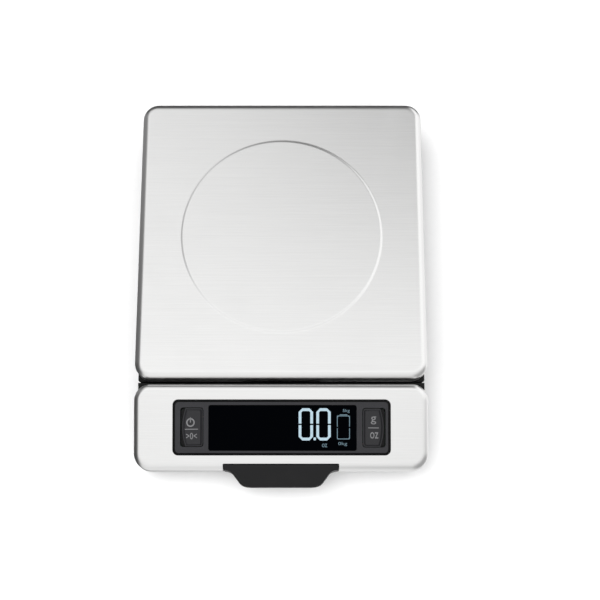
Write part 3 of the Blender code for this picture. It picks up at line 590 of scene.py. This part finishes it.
def lettering(text, across, along, height):
    """A short generic label as thin solid letters that fill a rectangle."""
    curve = bpy.data.curves.new("letters", "FONT")
    curve.body, curve.extrude, curve.resolution_u = text, 0.02, 3
    bm = of_curve(curve, 10 * CLOSE)
    low = Vector(map(min, zip(*(vert.co for vert in bm.verts))))
    high = Vector(map(max, zip(*(vert.co for vert in bm.verts))))
    size = high - low
    scale = Matrix.Diagonal((
        (across[1] - across[0]) / size.x, (along[1] - along[0]) / size.y, PRINTED / size.z, 1
    ))
    start = move((across[0], along[0], height))
    bmesh.ops.transform(bm, matrix=start @ scale @ move(-low), verts=bm.verts)
    return bm


def add_piece(name, bm, paints, body, slot, replaces=(), wall=0.0, sharp=35, bend=()):
    """Turns a bmesh into a named piece that rides on a body; given a bend, it stays unparented where it
    stands.
    """
    obj = placed(name, bm)
    obj.data.shade_smooth()
    obj.data.set_sharp_from_angle(angle=radians(sharp))
    for paint in paints:
        obj.data.materials.append(PAINTS[paint])
    if wall:
        solidify = obj.modifiers.new("sheet", "SOLIDIFY")
        solidify.thickness, solidify.offset, solidify.use_even_offset = wall, -1, True
    weighted = obj.modifiers.new("flat faces", "WEIGHTED_NORMAL")
    weighted.keep_sharp = True
    if bend:
        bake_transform(obj)
    else:
        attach(obj, body)
    if replaces:
        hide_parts(*replaces)


def body_of(node):
    for body, nodes in frame["record"]["behaviour"]["bodies"].items():
        if node in nodes:
            return body
    raise ValueError(f"no body carries {node}")


def corners(kind):
    """The names of the four pieces of a kind, and the end and side each one is at."""
    for end in ("front", "rear"):
        for side in ("left", "right"):
            yield f"{kind}_{end}_{side}", end, side


def refinish(table):
    """Gives frame nodes that keep their shapes their own finishes."""
    for node, paint in table.items():
        materials = frame["nodes"][node].data.materials
        materials.clear()
        materials.append(PAINTS[paint])


def stand_in(node, bm, *paints, slot="", **options):
    """Puts a finished piece in the place of the frame node that it follows.

    The slot, the name of the first paint unless another is given, is passed on but not used.
    """
    slot = slot or paints[0]
    add_piece(f"{node}_finished", bm, paints, body_of(node), slot, (node,), **options)


# Settings

def size_setting(name, description, default, least, most):
    return FloatProperty(
        name=name, description=description, default=default, min=least, max=most, unit="LENGTH"
    )


def colour_setting(name, description, default):
    return FloatVectorProperty(
        name=name, description=description, default=default, min=0, max=1, subtype="COLOR"
    )


class ScaleSizes(bpy.types.PropertyGroup):
    """Sizes and colours of the scale."""

    ring_radius: size_setting(
        "Ring radius", "Radius of the raised circle on the platform", 56.6 * MM, 30 * MM, 70 * MM)
    ring_rise: size_setting(
        "Ring rise", "How far the circle stands above the platform", 0.35 * MM, 0.1 * MM, 0.35 * MM)
    ring_flank: size_setting(
        "Ring flank", "Width of the slope round the circle", 1.9 * MM, 0.4 * MM, 3 * MM)
    digit_stroke: size_setting(
        "Digit stroke", "Width of the lit segments", 1.5 * MM, 0.5 * MM, 3 * MM)
    steel_colour: colour_setting(
        "Steel", "Colour of the brushed steel covers", (0.83, 0.83, 0.825))
    plastic_colour: colour_setting(
        "Body plastic", "Colour of the base and the housing", (0.004, 0.004, 0.0043))
    handle_colour: colour_setting(
        "Handle plastic", "Colour of the pull handle", (0.0078, 0.0078, 0.0083))
    panel_colour: colour_setting(
        "Panel plastic", "Colour of the frame round the window", (0.024, 0.024, 0.027))
    button_colour: colour_setting(
        "Button plastic", "Colour of the two buttons", (0.014, 0.014, 0.016))
    digit_colour: colour_setting(
        "Digits", "Colour of the lit digits", (0.44, 0.58, 0.66))
    gauge_colour: colour_setting(
        "Gauge", "Colour of the lit capacity gauge and labels", (0.34, 0.52, 0.62))


class StudioSettings(bpy.types.PropertyGroup):
    """Camera and light round the scale."""

    camera_height: size_setting(
        "Camera height", "Height of the camera above the table", 0.655483, 0.2, 3)
    camera_tilt: FloatProperty(
        name="Camera tilt", description="Turn of the camera from looking straight down",
        default=radians(14.44), min=0, max=radians(90), subtype="ANGLE",
    )
    key_power: FloatProperty(
        name="Key light", description="Power of the soft light at the left, in watts",
        default=14, min=0, max=500,
    )
    sky_strength: FloatProperty(
        name="Studio light", description="Strength of the light from all round",
        default=1.0, min=0, max=10,
    )


# Operators

class BuildPiece:
    """What every operator of the scale shares."""

    bl_options = {"REGISTER", "UNDO"}

    def execute(self, context):
        self.build(context.scene.scale_sizes)
        return {"FINISHED"}


class SCALE_OT_finishes(BuildPiece, bpy.types.Operator):
    """Mixes every finish from the colours of the settings"""

    bl_idname = "scale.finishes"
    bl_label = "Finishes"

    def build(self, sizes):
        PAINTS.update(finishes(sizes))


class SCALE_OT_platform(BuildPiece, bpy.types.Operator):
    """Builds the steel weighing platform with its raised circle"""

    bl_idname = "scale.platform"
    bl_label = "Weighing platform"

    def build(self, sizes):
        low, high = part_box("platform_plate")
        top = high.z - sizes.ring_rise
        bm = slab(low, (high.x, high.y, top), CORNER, 12)
        bevelled(bm, edges_at(bm, top), PLATFORM_EDGE, 10)
        below = [face for face in bm.faces if face.calc_center_median().z < low.z + CLOSE]
        bmesh.ops.delete(bm, geom=below, context="FACES_ONLY")
        crown = max(bm.faces, key=lambda face: face.calc_area())
        bmesh.ops.inset_region(bm, faces=[crown], thickness=0.5 * MM, use_even_offset=True)
        border = list(crown.edges)
        bmesh.ops.delete(bm, geom=[crown], context="FACES_ONLY")
        middle = Vector((0, RING_CENTRE_Y, top))
        outer = sizes.ring_radius + sizes.ring_flank / 2
        circle = bmesh.ops.create_circle(
            bm, cap_ends=False, segments=160, radius=outer, matrix=move(middle)
        )["verts"]
        loop = list({edge for vert in circle for edge in vert.link_edges})
        bmesh.ops.triangle_fill(bm, use_beauty=True, use_dissolve=True, edges=border + loop)
        radius = outer
        for step in range(1, RING_STEPS + 1):
            grown = bmesh.ops.extrude_edge_only(bm, edges=loop)["geom"]
            verts = [item for item in grown if isinstance(item, bmesh.types.BMVert)]
            loop = [item for item in grown if isinstance(item, bmesh.types.BMEdge)
                    and all(vert in verts for vert in item.verts)]
            share = step / RING_STEPS
            height = sizes.ring_rise * (1 - cos(pi * share)) / 2
            wanted = outer - sizes.ring_flank * share
            shrink = Matrix.Diagonal((wanted / radius, wanted / radius, 1, 1))
            matrix = move(middle) @ shrink @ move(-middle)
            bmesh.ops.transform(bm, matrix=matrix, verts=verts)
            for vert in verts:
                vert.co.z = top + height
            radius = wanted
        bmesh.ops.contextual_create(bm, geom=loop)
        bmesh.ops.recalc_face_normals(bm, faces=bm.faces)
        stand_in("platform_plate", bm, "brushed_steel", wall=SHEET, sharp=50)


class SCALE_OT_display_cover(BuildPiece, bpy.types.Operator):
    """Builds the steel cover of the display unit with its panel opening and handle notch"""

    bl_idname = "scale.display_cover"
    bl_label = "Display cover"

    def build(self, sizes):
        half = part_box("display_cover")[1].x
        low = DISPLAY_TOP - DISPLAY_DEPTH
        bm = slab((-half, DISPLAY_FRONT, low), (half, DISPLAY_REAR, DISPLAY_TOP), CORNER, 12)
        bevelled(bm, edges_at(bm, DISPLAY_TOP), DISPLAY_EDGE, 10)
        inner_top = DISPLAY_TOP - SHEET
        hollow = slab((-half + SHEET, DISPLAY_FRONT + SHEET, low - 1 * MM),
                      (half - SHEET, DISPLAY_REAR - SHEET, inner_top), CORNER - SHEET, 8)
        bevelled(hollow, edges_at(hollow, inner_top), DISPLAY_EDGE - SHEET, 6)
        opening = tile(PANEL_X, PANEL_Y, (DISPLAY_TOP - 5 * MM, DISPLAY_TOP + 1 * MM), 3 * MM, 8)
        notch = slab((-NOTCH_HALF, DISPLAY_FRONT - 5 * MM, low - 2 * MM),
                     (NOTCH_HALF, NOTCH_BACK, DISPLAY_TOP + 1 * MM), 0.6 * MM, 4)
        for tool in (hollow, opening, notch):
            bm = carved(bm, tool)
        lip = [
            edge for edge in edges_at(bm, DISPLAY_TOP)
            if edge.calc_face_angle(0) > radians(60)
        ]
        bevelled(bm, lip, 0.22 * MM, 2, False)
        stand_in("display_cover", sloped(bm), "brushed_steel", sharp=50)


class SCALE_OT_housing(BuildPiece, bpy.types.Operator):
    """Builds the black housing under the display cover"""

    bl_idname = "scale.housing"
    bl_label = "Display housing"

    def build(self, sizes):
        bm = softened(
            "display_housing", 0.3 * MM, rim_radius=0.9 * MM,
            rim=lambda one, other: max(abs(one.x), abs(other.x)) > BASE_SIDE,
        )
        stand_in("display_housing", bm, "body_plastic")


class SCALE_OT_base(BuildPiece, bpy.types.Operator):
    """Builds the base tray and the deck that closes it"""

    bl_idname = "scale.base"
    bl_label = "Base"

    def build(self, sizes):
        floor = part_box("base_tray")[0].z
        tray = softened(
            "base_tray", 0.35 * MM, rim_radius=1 * MM,
            rim=lambda one, other: min(abs(one.x), abs(other.x)) > BASE_SIDE
            or min(one.y, other.y) > BASE_REAR,
        )
        label = tile(mm(-30, 30), mm(40, 66), (floor - 1 * MM, floor + 0.35 * MM), 2 * MM)
        notch = bmesh.new()
        place = move((0, DOOR_FRONT, floor)) @ Matrix.Diagonal((*mm(10, 6, 1.3), 1))
        bmesh.ops.create_uvsphere(notch, u_segments=48, v_segments=24, radius=1, matrix=place)
        stand_in("base_tray", carved(carved(tray, label), notch), "body_plastic")
        stand_in("base_deck", softened("base_deck", 0.35 * MM), "body_plastic")


class SCALE_OT_feet(BuildPiece, bpy.types.Operator):
    """Builds the four rubber feet"""

    bl_idname = "scale.feet"
    bl_label = "Feet"

    def build(self, sizes):
        for node, end, side in corners("foot"):
            low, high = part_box(node)
            radius, top = (high.x - low.x) / 2, high.z
            profile = [
                (0, 0.5 * MM), (radius * 0.55, 0.5 * MM), (radius * 0.62, 0.25 * MM),
                (radius * 0.68, 0), (radius * 0.9, 0), (radius * 0.97, 0.25 * MM),
                (radius, 0.7 * MM), (radius, top - 0.2 * MM), (radius - 0.2 * MM, top), (0, top),
            ]
            place = (FOOT_X if side == "right" else -FOOT_X, FEET[end], 0)
            stand_in(node, lathe(profile, move(place), 40), "foot_rubber")


class SCALE_OT_mechanism(BuildPiece, bpy.types.Operator):
    """Builds what lies between the base and the platform: liner, carrier, pads and load cell"""

    bl_idname = "scale.mechanism"
    bl_label = "Load cell and carrier"

    def build(self, sizes):
        for node in ("platform_liner", "platform_carrier"):
            stand_in(node, softened(node, 0.3 * MM), "body_plastic")
        for node, _, _ in corners("carrier_pad"):
            self.build_pad(node)
        bend = ("base", "carrier", (-CELL_BEND, 0, 0), (CELL_BEND, 0, 0))
        stand_in("load_cell", softened("load_cell", 0.3 * MM), "cell_aluminium", bend=bend)
        stand_in("load_cell_spacer", softened("load_cell_spacer", 0.3 * MM), "cell_aluminium")
        for node in ("strain_gauge_upper", "strain_gauge_lower"):
            stand_in(node, softened(node, 0.1 * MM), "gauge_film", bend=bend)

    def build_pad(self, node):
        low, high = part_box(node)
        middle, radius, tall = (low + high) / 2, (high.x - low.x) / 2, high.z - low.z
        profile = [
            (0, 0), (radius - 0.3 * MM, 0), (radius, 0.3 * MM), (radius, tall - 0.5 * MM),
            (radius - 0.5 * MM, tall), (radius * 0.6, tall),
            (radius * 0.5, tall - 0.4 * MM), (0, tall - 0.4 * MM),
        ]
        stand_in(node, lathe(profile, move((middle.x, middle.y, low.z))), "pad_silicone")


class SCALE_OT_slide(BuildPiece, bpy.types.Operator):
    """Builds the slide arm and its guide, gives the ribbon, its socket, the lead and the board their
    finishes, and fills the board
    """

    bl_idname = "scale.slide"
    bl_label = "Slide"

    def build(self, sizes):
        stand_in("slide_arm", softened("slide_arm", 0.35 * MM), "body_plastic")
        stand_in("slide_guide", softened("slide_guide", 0.3 * MM), "guide_plastic")
        refinish({
            "ribbon_socket": "guide_plastic", "ribbon_cable": "ribbon_insulation",
            "load_cell_lead": "lead_insulation", "base_board": "circuit_board",
        })
        self.populate_board()

    def populate_board(self):
        """The converter, its crystal, capacitors and resistors on the junction board."""
        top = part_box("base_board")[1].z
        dark, bright = [], []
        for x, y, half, pins in CHIPS:
            middle = Vector((x * MM, y * MM, top))
            chip = cuboid(middle + Vector(mm(-half, -half, 0.15)), middle + Vector(mm(half, half, 1.3)))
            dark.append(bevelled(chip, chip.edges[:], 0.12 * MM, 2))
            for pin in range(pins):
                along = (pin + 0.5) * 2 * half / pins - half
                for near, far in ((-half - 0.9, 0.2 - half), (half - 0.2, half + 0.9)):
                    low, high = mm((near, along - 0.15, 0), (far, along + 0.15, 0.3))
                    bright.append(cuboid(middle + Vector(low), middle + Vector(high)))
        can = mm((0, 0), (2, 0), (2, 0.9), (1.85, 1.1), (2, 1.3), (2, 3.1), (1.8, 3.3), (0, 3.3))
        for place in CANS:
            bright.append(lathe(can, move((*mm(*place), top)), 24))
        crystal = tile(mm(47, 53.5), mm(9, 11.2), (top, top + 1.4 * MM), 1 * MM, 4)
        bright.append(bevelled(crystal, edges_at(crystal, top + 1.4 * MM), 0.25 * MM, 2))
        for place in RESISTORS:
            corner = Vector((*mm(*place), top))
            dark.append(cuboid(corner, corner + Vector(mm(1.1, 0.8, 0.45))))
            for end in (-0.25, 1.1):
                low, high = mm((end, 0, 0), (end + 0.25, 0.8, 0.48))
                bright.append(cuboid(corner + Vector(low), corner + Vector(high)))
        add_piece("board_chips", gathered(*dark), ("button_plastic",), "base", "circuit_board")
        add_piece("board_metal", gathered(*bright), ("screw_steel",), "base", "circuit_board")


class SCALE_OT_battery_bay(BuildPiece, bpy.types.Operator):
    """Builds the four cells, their contacts and the hinged door"""

    bl_idname = "scale.battery_bay"
    bl_label = "Battery bay"

    def build(self, sizes):
        for node, end, _ in corners("battery"):
            self.build_cell(node, 1 if end == "front" else -1)
        for node, side, sprung in (("contact_bridge", -1, (True, False)),
                                   ("contact_positive", 1, (False,)), ("contact_negative", 1, (True,))):
            self.build_contact(node, side, sprung)
        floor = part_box("battery_door")[0].z
        deep = (floor - 1 * MM, floor + 0.4 * MM)
        grooves = [
            tile(mm(-14, 14), (y - 0.35 * MM, y + 0.35 * MM), deep, 0.3 * MM, 3)
            for y in (DOOR_FRONT + step * 1.6 * MM for step in range(2, 8))
        ]
        arrow = bmesh.new()
        place = move((0, DOOR_FRONT + 16.5 * MM, floor)) @ turn_by(-pi / 2, 4, "Z")
        bmesh.ops.create_cone(
            arrow, cap_ends=True, segments=3, radius1=2.2 * MM, radius2=2.2 * MM, depth=0.6 * MM,
            matrix=place,
        )
        door = carved(softened("battery_door", 0.25 * MM), gathered(*grooves, arrow))
        stand_in("battery_door", door, "body_plastic")

    def build_contact(self, node, side, sprung):
        """A plate with a tapering spring or a pressed bump for each row of cells."""
        low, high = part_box(node)
        outer = side * max(side * low.x, side * high.x)
        inner, tip = outer - side * CONTACT_SHEET, side * min(side * low.x, side * high.x)
        start, end = sorted((inner, outer))
        plate = cuboid((start, low.y, low.z), (end, high.y, high.z))
        corners = [edge for edge in plate.edges
                   if abs(edge.verts[0].co.x - edge.verts[1].co.x) > 0.1 * MM]
        parts = [bevelled(plate, corners, 1.2 * MM, 4)]
        bump = mm((0, -0.2), (2.4, -0.2), (2.3, 0.3), (1.9, 1), (1.3, 1.45), (0, 1.6))
        for y, has_spring in zip((low.y + CONTACT_HALF, high.y - CONTACT_HALF), sprung):
            if has_spring:
                parts.append(tube(self.coil(inner, tip + side * SPRING_WIRE, y), SPRING_WIRE))
            else:
                turn = turn_by(-side * pi / 2, 4, "Y")
                parts.append(lathe(bump, move((inner, y, BATTERY_Z)) @ turn, 24))
        stand_in(node, gathered(*parts), "contact_nickel")

    def coil(self, root, tip, y):
        """Points of a spring that narrows from its flat root turn to its flat tip turn."""
        points = []
        for step in range(SPRING_POINTS + 1):
            share = step / SPRING_POINTS
            advance = min(max((share - 0.15) / 0.7, 0), 1)
            radius = (3.3 - 1.5 * advance) * MM
            turn = share * 2 * pi * SPRING_TURNS
            out, up = radius * cos(turn), radius * sin(turn)
            points.append((root + (tip - root) * advance, y + out, BATTERY_Z + up))
        return points

    def build_cell(self, node, towards):
        """A cell whose raised end points along X, or against it."""
        low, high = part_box(node)
        radius, length = BATTERY_RADIUS, high.x - low.x
        body = length - 0.8 * MM
        profile = [
            *mm((0, 0.15), (2.6, 0.15), (3, 0)), (radius - 0.9 * MM, 0),
            (radius - 0.4 * MM, 0.15 * MM), (radius, 0.6 * MM), (radius, body - 1.6 * MM),
            (radius - 0.25 * MM, body - 1.1 * MM), (radius, body - 0.6 * MM),
            (radius - 0.5 * MM, body - 0.1 * MM), (radius - 1.2 * MM, body),
            (1.95 * MM, body), (1.9 * MM, length - 0.2 * MM), (1.7 * MM, length), (0, length),
        ]
        start = low.x if towards > 0 else high.x
        middle = (low + high) / 2
        turn = turn_by(towards * pi / 2, 4, "Y")
        bm = lathe(profile, move((start, middle.y, middle.z)) @ turn, 48)
        for face in bm.faces:
            out = (face.calc_center_median().yz - middle.yz).length
            face.material_index = 0 if out > radius - 0.35 * MM else 1
        stand_in(node, bm, "battery_label", "battery_metal", slot="battery_wrap")


class SCALE_OT_panel(BuildPiece, bpy.types.Operator):
    """Builds the frame, the dark window and the lit readout"""

    bl_idname = "scale.panel"
    bl_label = "Display panel"

    def build(self, sizes):
        rim = tile(PANEL_X, PANEL_Y, (PANEL_TOP - 2 * MM, PANEL_TOP + 1 * MM), 3 * MM, margin=1 * MM)
        land = tile(PANEL_X, PANEL_Y, (PANEL_TOP - 3 * MM, PANEL_TOP + 2 * MM), 2 * MM,
                    margin=-PANEL_GROOVE)
        bezel = carved(merged("panel_bezel"), sloped(carved(rim, land)))
        bezel = bevelled(bezel, sharp_edges(bezel), 0.2 * MM, 2, False)
        # Faces below the land, the groove among them, take the darker body plastic: the groove's
        # near-black is painted shade, the bezel being one moulding
        for face in bezel.faces:
            at = face.calc_center_median()
            level = at.z - DISPLAY_FALL * (at.y - DISPLAY_REAR)
            face.material_index = int(level < PANEL_TOP - 0.35 * MM)
        stand_in("panel_bezel", bezel, "panel_plastic", "body_plastic")
        glass = tile(WINDOW_X, WINDOW_Y, WINDOW_Z, 0.8 * MM, 4)
        bevelled(glass, edges_at(glass, WINDOW_Z[1]), 0.15 * MM, 2)
        stand_in("display_window", sloped(glass), "window_acrylic", slot="window_glass")
        self.build_readout(sizes.digit_stroke)
        refinish({
            "lcd_module": "display_glass", "backlight": "light_guide", "display_board": "circuit_board",
            "power_switch": "screw_steel", "unit_switch": "screw_steel",
        })

    def build_readout(self, stroke):
        """Two noughts with a point between them, a gauge beside them and their small labels."""
        low = WINDOW_Z[1] + 0.01 * MM
        up = (low, low + PRINTED)
        digits = [self.ring(across, DIGITS_Y, up, stroke, 2 * MM, 1) for across in DIGITS_X]
        digits.append(tile(*POINT, up, 0.3 * MM, 2))
        gauge = [self.ring(*GAUGE, up, 0.4 * MM, 0.5 * MM, 2), tile(*GAUGE_TIP, up, 0.1 * MM, 1)]
        gauge += [lettering(*label, low) for label in READOUT_LABELS]
        for name, marks, paint in (("readout_digits", digits, "digit_glow"),
                                   ("readout_gauge", gauge, "gauge_glow")):
            add_piece(name, sloped(gathered(*marks)), (paint,), "display", "display_glass")

    def ring(self, across, along, up, stroke, corner, steps):
        """A flat frame with a hair's gap at half height on both sides."""
        outer = tile(across, along, up, corner, steps)
        through = (up[0] - 1 * MM, up[1] + 1 * MM)
        inner = tile(across, along, through, max(corner - stroke, 0.7 * MM), steps, -stroke)
        middle = sum(along) / 2
        gap = cuboid((across[0] - 1 * MM, middle - 0.4 * MM, through[0]),
                     (across[1] + 1 * MM, middle + 0.4 * MM, through[1]))
        return carved(carved(outer, inner), gap)


class SCALE_OT_buttons(BuildPiece, bpy.types.Operator):
    """Builds the two scooped buttons and their printed symbols"""

    bl_idname = "scale.buttons"
    bl_label = "Buttons"

    def build(self, sizes):
        for side in BUTTONS:
            self.build_button(side, *BUTTONS[side])

    def build_button(self, side, x, y, outwards):
        half_x, half_y = BUTTON_SIZE[0] / 2, BUTTON_SIZE[1] / 2
        low, high = BUTTON_Z
        flange = low + BUTTON_FLANGE
        outline = ((x - half_x, x + half_x), (y - half_y, y + half_y))
        barrel = bmesh.new()
        bulge = (x + outwards * (half_x - BUTTON_FLANGE - BUTTON_BULGE), y, high)
        bmesh.ops.create_cone(
            barrel, cap_ends=True, segments=160, radius1=BUTTON_BULGE, radius2=BUTTON_BULGE,
            depth=20 * MM, matrix=move(bulge),
        )
        bm = carved(tile(*outline, BUTTON_Z, BUTTON_CORNER, 5), barrel, "INTERSECT")
        bm = carved(bm, tile(*outline, (low, flange), BUTTON_CORNER, 5), "UNION")
        face = max(bm.faces, key=lambda item: item.calc_center_median().z)
        for thickness, depth in BUTTON_SCOOP:
            bmesh.ops.inset_region(
                bm, faces=[face], thickness=thickness * MM, depth=depth * MM, use_even_offset=True
            )
        self.lean(face, x, outwards)
        top = max(vert.co.z for vert in bm.verts)
        bmesh.ops.translate(bm, vec=(0, 0, high - top), verts=bm.verts)
        signs = self.signs(side, face.calc_center_median().z + 0.02 * MM)
        # The flange under the cap takes the darker body plastic: painted shade, so the gap round the
        # scoop reads black
        for face in bm.faces:
            face.material_index = int(face.calc_center_median().z < flange + 0.01 * MM)
        body = f"{side}_button"
        stand_in(body, sloped(bm), "button_plastic", "body_plastic")
        self.lean(signs, x, outwards)
        add_piece(f"{side}_symbols", sloped(signs), ("icon_ink",), body, "button_plastic")

    def lean(self, shape, x, outwards):
        """Tips the floor of the scoop, or the signs on it, towards the outer end."""
        for vert in shape.verts:
            vert.co.z -= SCOOP_LEAN * outwards * (vert.co.x - x) / (BUTTON_SIZE[0] / 2)

    def signs(self, side, height):
        """The printed signs on one button, level."""
        marks = []
        if side == "power":
            inner, outer = mm(1.65, 2.35)
            section = [(inner, 0), (outer, 0), (outer, PRINTED), (inner, PRINTED), (inner, 0)]
            marks.append(lathe(section, move((*SWITCH_RING, height)), 40))
        marks += [tile(*stroke, (height, height + PRINTED), 0.1 * MM, 1) for stroke in STROKES[side]]
        marks += [lettering(*sign, height) for sign in SIGNS[side]]
        return gathered(*marks)


class SCALE_OT_handle(BuildPiece, bpy.types.Operator):
    """Builds the pull handle"""

    bl_idname = "scale.handle"
    bl_label = "Pull handle"

    def build(self, sizes):
        stand_in("pull_handle", softened("pull_handle", 0.45 * MM, 3), "handle_plastic")


class SCALE_OT_screws(BuildPiece, bpy.types.Operator):
    """Builds every cross-recessed screw"""

    bl_idname = "scale.screws"
    bl_label = "Screws"

    def build(self, sizes):
        for node in sorted(frame["nodes"]):
            if "screw" in node:
                self.build_screw(node)

    def build_screw(self, node):
        """A screw whose head looks down, or up where it holds the carrier."""
        low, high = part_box(node)
        middle = (low + high) / 2
        head, length = (high.x - low.x) / 2, high.z - low.z
        upwards = node.startswith("carrier")
        shank = 1.85 * MM if node.startswith(("carrier", "cell")) else 1.1 * MM
        root = shank - THREAD_DEPTH
        tall = 1.2 * MM if upwards else 1 * MM
        profile = [
            (0, 0), (head * 0.5, 0.02 * MM), (head * 0.8, 0.12 * MM), (head * 0.96, 0.4 * MM),
            (head, 0.55 * MM), (head, tall), (shank, tall),
        ]
        at = tall + 0.4 * MM
        while at < length - shank - THREAD_PITCH:
            profile += [(root, at), (shank, at + THREAD_PITCH / 2), (root, at + THREAD_PITCH * 0.9)]
            at += THREAD_PITCH
        profile += [(root, length - shank), (0, length)]
        bm = lathe(profile, Matrix.Identity(4), 24)
        reach, width, deep = head * 0.62, 0.34 * MM, (-1 * MM, 0.6 * MM)
        cross = carved(cuboid((-reach, -width, deep[0]), (reach, width, deep[1])),
                       cuboid((-width, -reach, deep[0]), (width, reach, deep[1])), "UNION")
        bm = carved(bm, cross)
        turn = turn_by(pi, 4, "X") if upwards else Matrix.Identity(4)
        start = move((middle.x, middle.y, high.z if upwards else low.z))
        spin = turn_by(radians(17 + 29 * (abs(middle.x) * 1000 % 3)), 4, "Z")
        bmesh.ops.transform(bm, matrix=start @ turn @ spin, verts=bm.verts)
        stand_in(node, bm, "screw_steel")


class SCALE_OT_stage(bpy.types.Operator):
    """Sets the floor, the light and the camera"""

    bl_idname = "scale.stage"
    bl_label = "Stage"

    def execute(self, context):
        studio = context.scene.scale_studio
        self.set_camera(context, studio)
        self.lay_floor()
        self.hang_lights(context, studio.key_power)
        self.light_studio(context, studio.sky_strength)
        context.scene.view_settings.view_transform = "Standard"
        return {"FINISHED"}

    def set_camera(self, context, studio):
        lens = bpy.data.cameras.new("camera")
        lens.lens, lens.sensor_width = LENS, SENSOR
        lens.clip_start, lens.clip_end = 0.01, 50
        camera = bpy.data.objects.new("camera", lens)
        camera.location = (*CAMERA_PLACE, studio.camera_height)
        camera.rotation_euler = (studio.camera_tilt, 0, 0)
        context.collection.objects.link(camera)
        context.scene.camera = camera

    def lay_floor(self):
        """A pale paper floor that fades into the bright backdrop round it."""
        bm = bmesh.new()
        bmesh.ops.create_grid(bm, x_segments=1, y_segments=1, size=FLOOR_HALF)
        floor = placed("floor", bm)
        finish = Finish("floor_paper", Specular_IOR_Level=0.0, Roughness=0.9, Emission_Strength=1.0)
        far = finish.ramp(finish.along("X") ** 2 + finish.along("Y") ** 2, 0.4, 2.5)
        fibre = finish.noise(300, 3)
        paper = finish.blended((0.9, 0.9, 0.9, 1), (0.93, 0.93, 0.93, 1), fibre)
        finish.vary(
            Base_Color=finish.blended(paper, BLACK, far),
            Emission_Color=finish.blended(BLACK, WHITE, far),
        )
        floor.data.materials.append(finish.material)
        floor.visible_glossy = False

        bm = bmesh.new()
        bmesh.ops.create_icosphere(bm, subdivisions=4, radius=BACKDROP_RADIUS)
        bmesh.ops.reverse_faces(bm, faces=bm.faces)
        backdrop = placed("backdrop", bm)
        finish = Finish("backdrop_paper", Roughness=1.0, Specular_IOR_Level=0.0, Emission_Strength=1.0)
        finish.vary(Emission_Color=finish.blended((0.98, 0.98, 0.98, 1), WHITE, finish.noise(1, 1)))
        backdrop.data.materials.append(finish.material)
        for way in ("diffuse", "glossy", "transmission", "shadow", "volume_scatter"):
            setattr(backdrop, f"visible_{way}", False)

    def hang_lights(self, context, power):
        for name, place, size, share in LIGHTS:
            light = bpy.data.lights.new(name, "AREA")
            light.shape, light.size, light.energy = "DISK", size, power * share
            lamp = bpy.data.objects.new(name, light)
            lamp.location = place
            lamp.rotation_euler = (-Vector(place)).to_track_quat("-Z", "Y").to_euler()
            lamp.visible_glossy = False
            context.collection.objects.link(lamp)

    def light_studio(self, context, strength):
        """A soft box overhead, dark cloth at the left and rear, a bright wall at the right."""
        world = bpy.data.worlds.new("studio")
        world.use_nodes = True
        context.scene.world = world
        sky = Nodes(world.node_tree, "Generated")
        x, y, z = (sky.along(axis) for axis in "XYZ")

        def smaller(amount, limit):
            return sky.math("MINIMUM", amount, limit)

        def larger(amount, limit):
            return sky.math("MAXIMUM", amount, limit)

        # How much the box's light drops towards the rear, where the platform mirrors it, and the front
        back = larger(smaller(y, 0.43) - 0.2, 0.0)
        aside = larger(smaller(x, 0.13), -0.15)
        drop = back * (2.35 + aside * 14.5 + aside * aside * 36) * (1 - sky.ramp(x, 0.2, 0.4))
        front = (1 - sky.ramp(y, -0.3, 0.05)) * (0.13 + aside * 0.5 + aside * aside * 6)
        # Where the cloth hangs, and how dark it is
        low = 1 - sky.ramp(z, -0.05, 0.05)
        left_cloth = sky.ramp(sky.ramp(y, -0.1, 0.1) * 0.18 - 0.18 - x, 0.36, 0.66)
        rear_cloth = sky.ramp(y, 0.6, 0.85) * (1 - sky.ramp(x, 0.2, 0.36))
        low_cloth = low * sky.ramp(y * DIAGONAL - x * DIAGONAL, -0.2, 0.1)
        cloth = larger(larger(left_cloth, rear_cloth), low_cloth)
        cloth_tone = 0.08 + 0.2 * sky.ramp(y, 0.1, 0.4) - 0.2 * sky.ramp(y, 0.55, 0.75)
        # The wall is a little darker low down and at its front right corner
        wall = 0.88 + 0.12 * sky.ramp(z, -0.1, 0.6)
        corner = 1 - 0.5 * sky.ramp(x * DIAGONAL - y * DIAGONAL, 0.6, 0.95)
        level = (1.22 - drop - front) * wall * corner * (1 - cloth) + cloth_tone * cloth
        background = world.node_tree.nodes["Background"]
        sky.feed(background.inputs["Color"], WHITE)
        sky.feed(background.inputs["Strength"], level * strength)


class SCALE_PT_panel(bpy.types.Panel):
    """Lists the pieces of the scale"""

    bl_idname = "SCALE_PT_panel"
    bl_label = "Kitchen scale"
    bl_space_type = "VIEW_3D"
    bl_region_type = "UI"
    bl_category = "Scale"

    def draw(self, context):
        for group in (context.scene.scale_sizes, context.scene.scale_studio):
            for name in group.__annotations__:
                self.layout.prop(group, name)
        for operator in OPERATORS:
            self.layout.operator(operator.bl_idname)


OPERATORS = (
    SCALE_OT_stage, SCALE_OT_finishes, SCALE_OT_platform, SCALE_OT_display_cover, SCALE_OT_housing,
    SCALE_OT_base, SCALE_OT_feet, SCALE_OT_mechanism, SCALE_OT_slide, SCALE_OT_battery_bay,
    SCALE_OT_panel, SCALE_OT_buttons, SCALE_OT_handle, SCALE_OT_screws,
)
CLASSES = (ScaleSizes, StudioSettings, *OPERATORS, SCALE_PT_panel)


def register():
    for cls in CLASSES:
        bpy.utils.register_class(cls)
    bpy.types.Scene.scale_sizes = PointerProperty(type=ScaleSizes)
    bpy.types.Scene.scale_studio = PointerProperty(type=StudioSettings)


def unregister():
    del bpy.types.Scene.scale_studio
    del bpy.types.Scene.scale_sizes
    for cls in reversed(CLASSES):
        bpy.utils.unregister_class(cls)


def main():
    register()
    for operator in OPERATORS:
        group, name = operator.bl_idname.split(".")
        getattr(getattr(bpy.ops, group), name)()


if __name__ == "__main__":
    main()
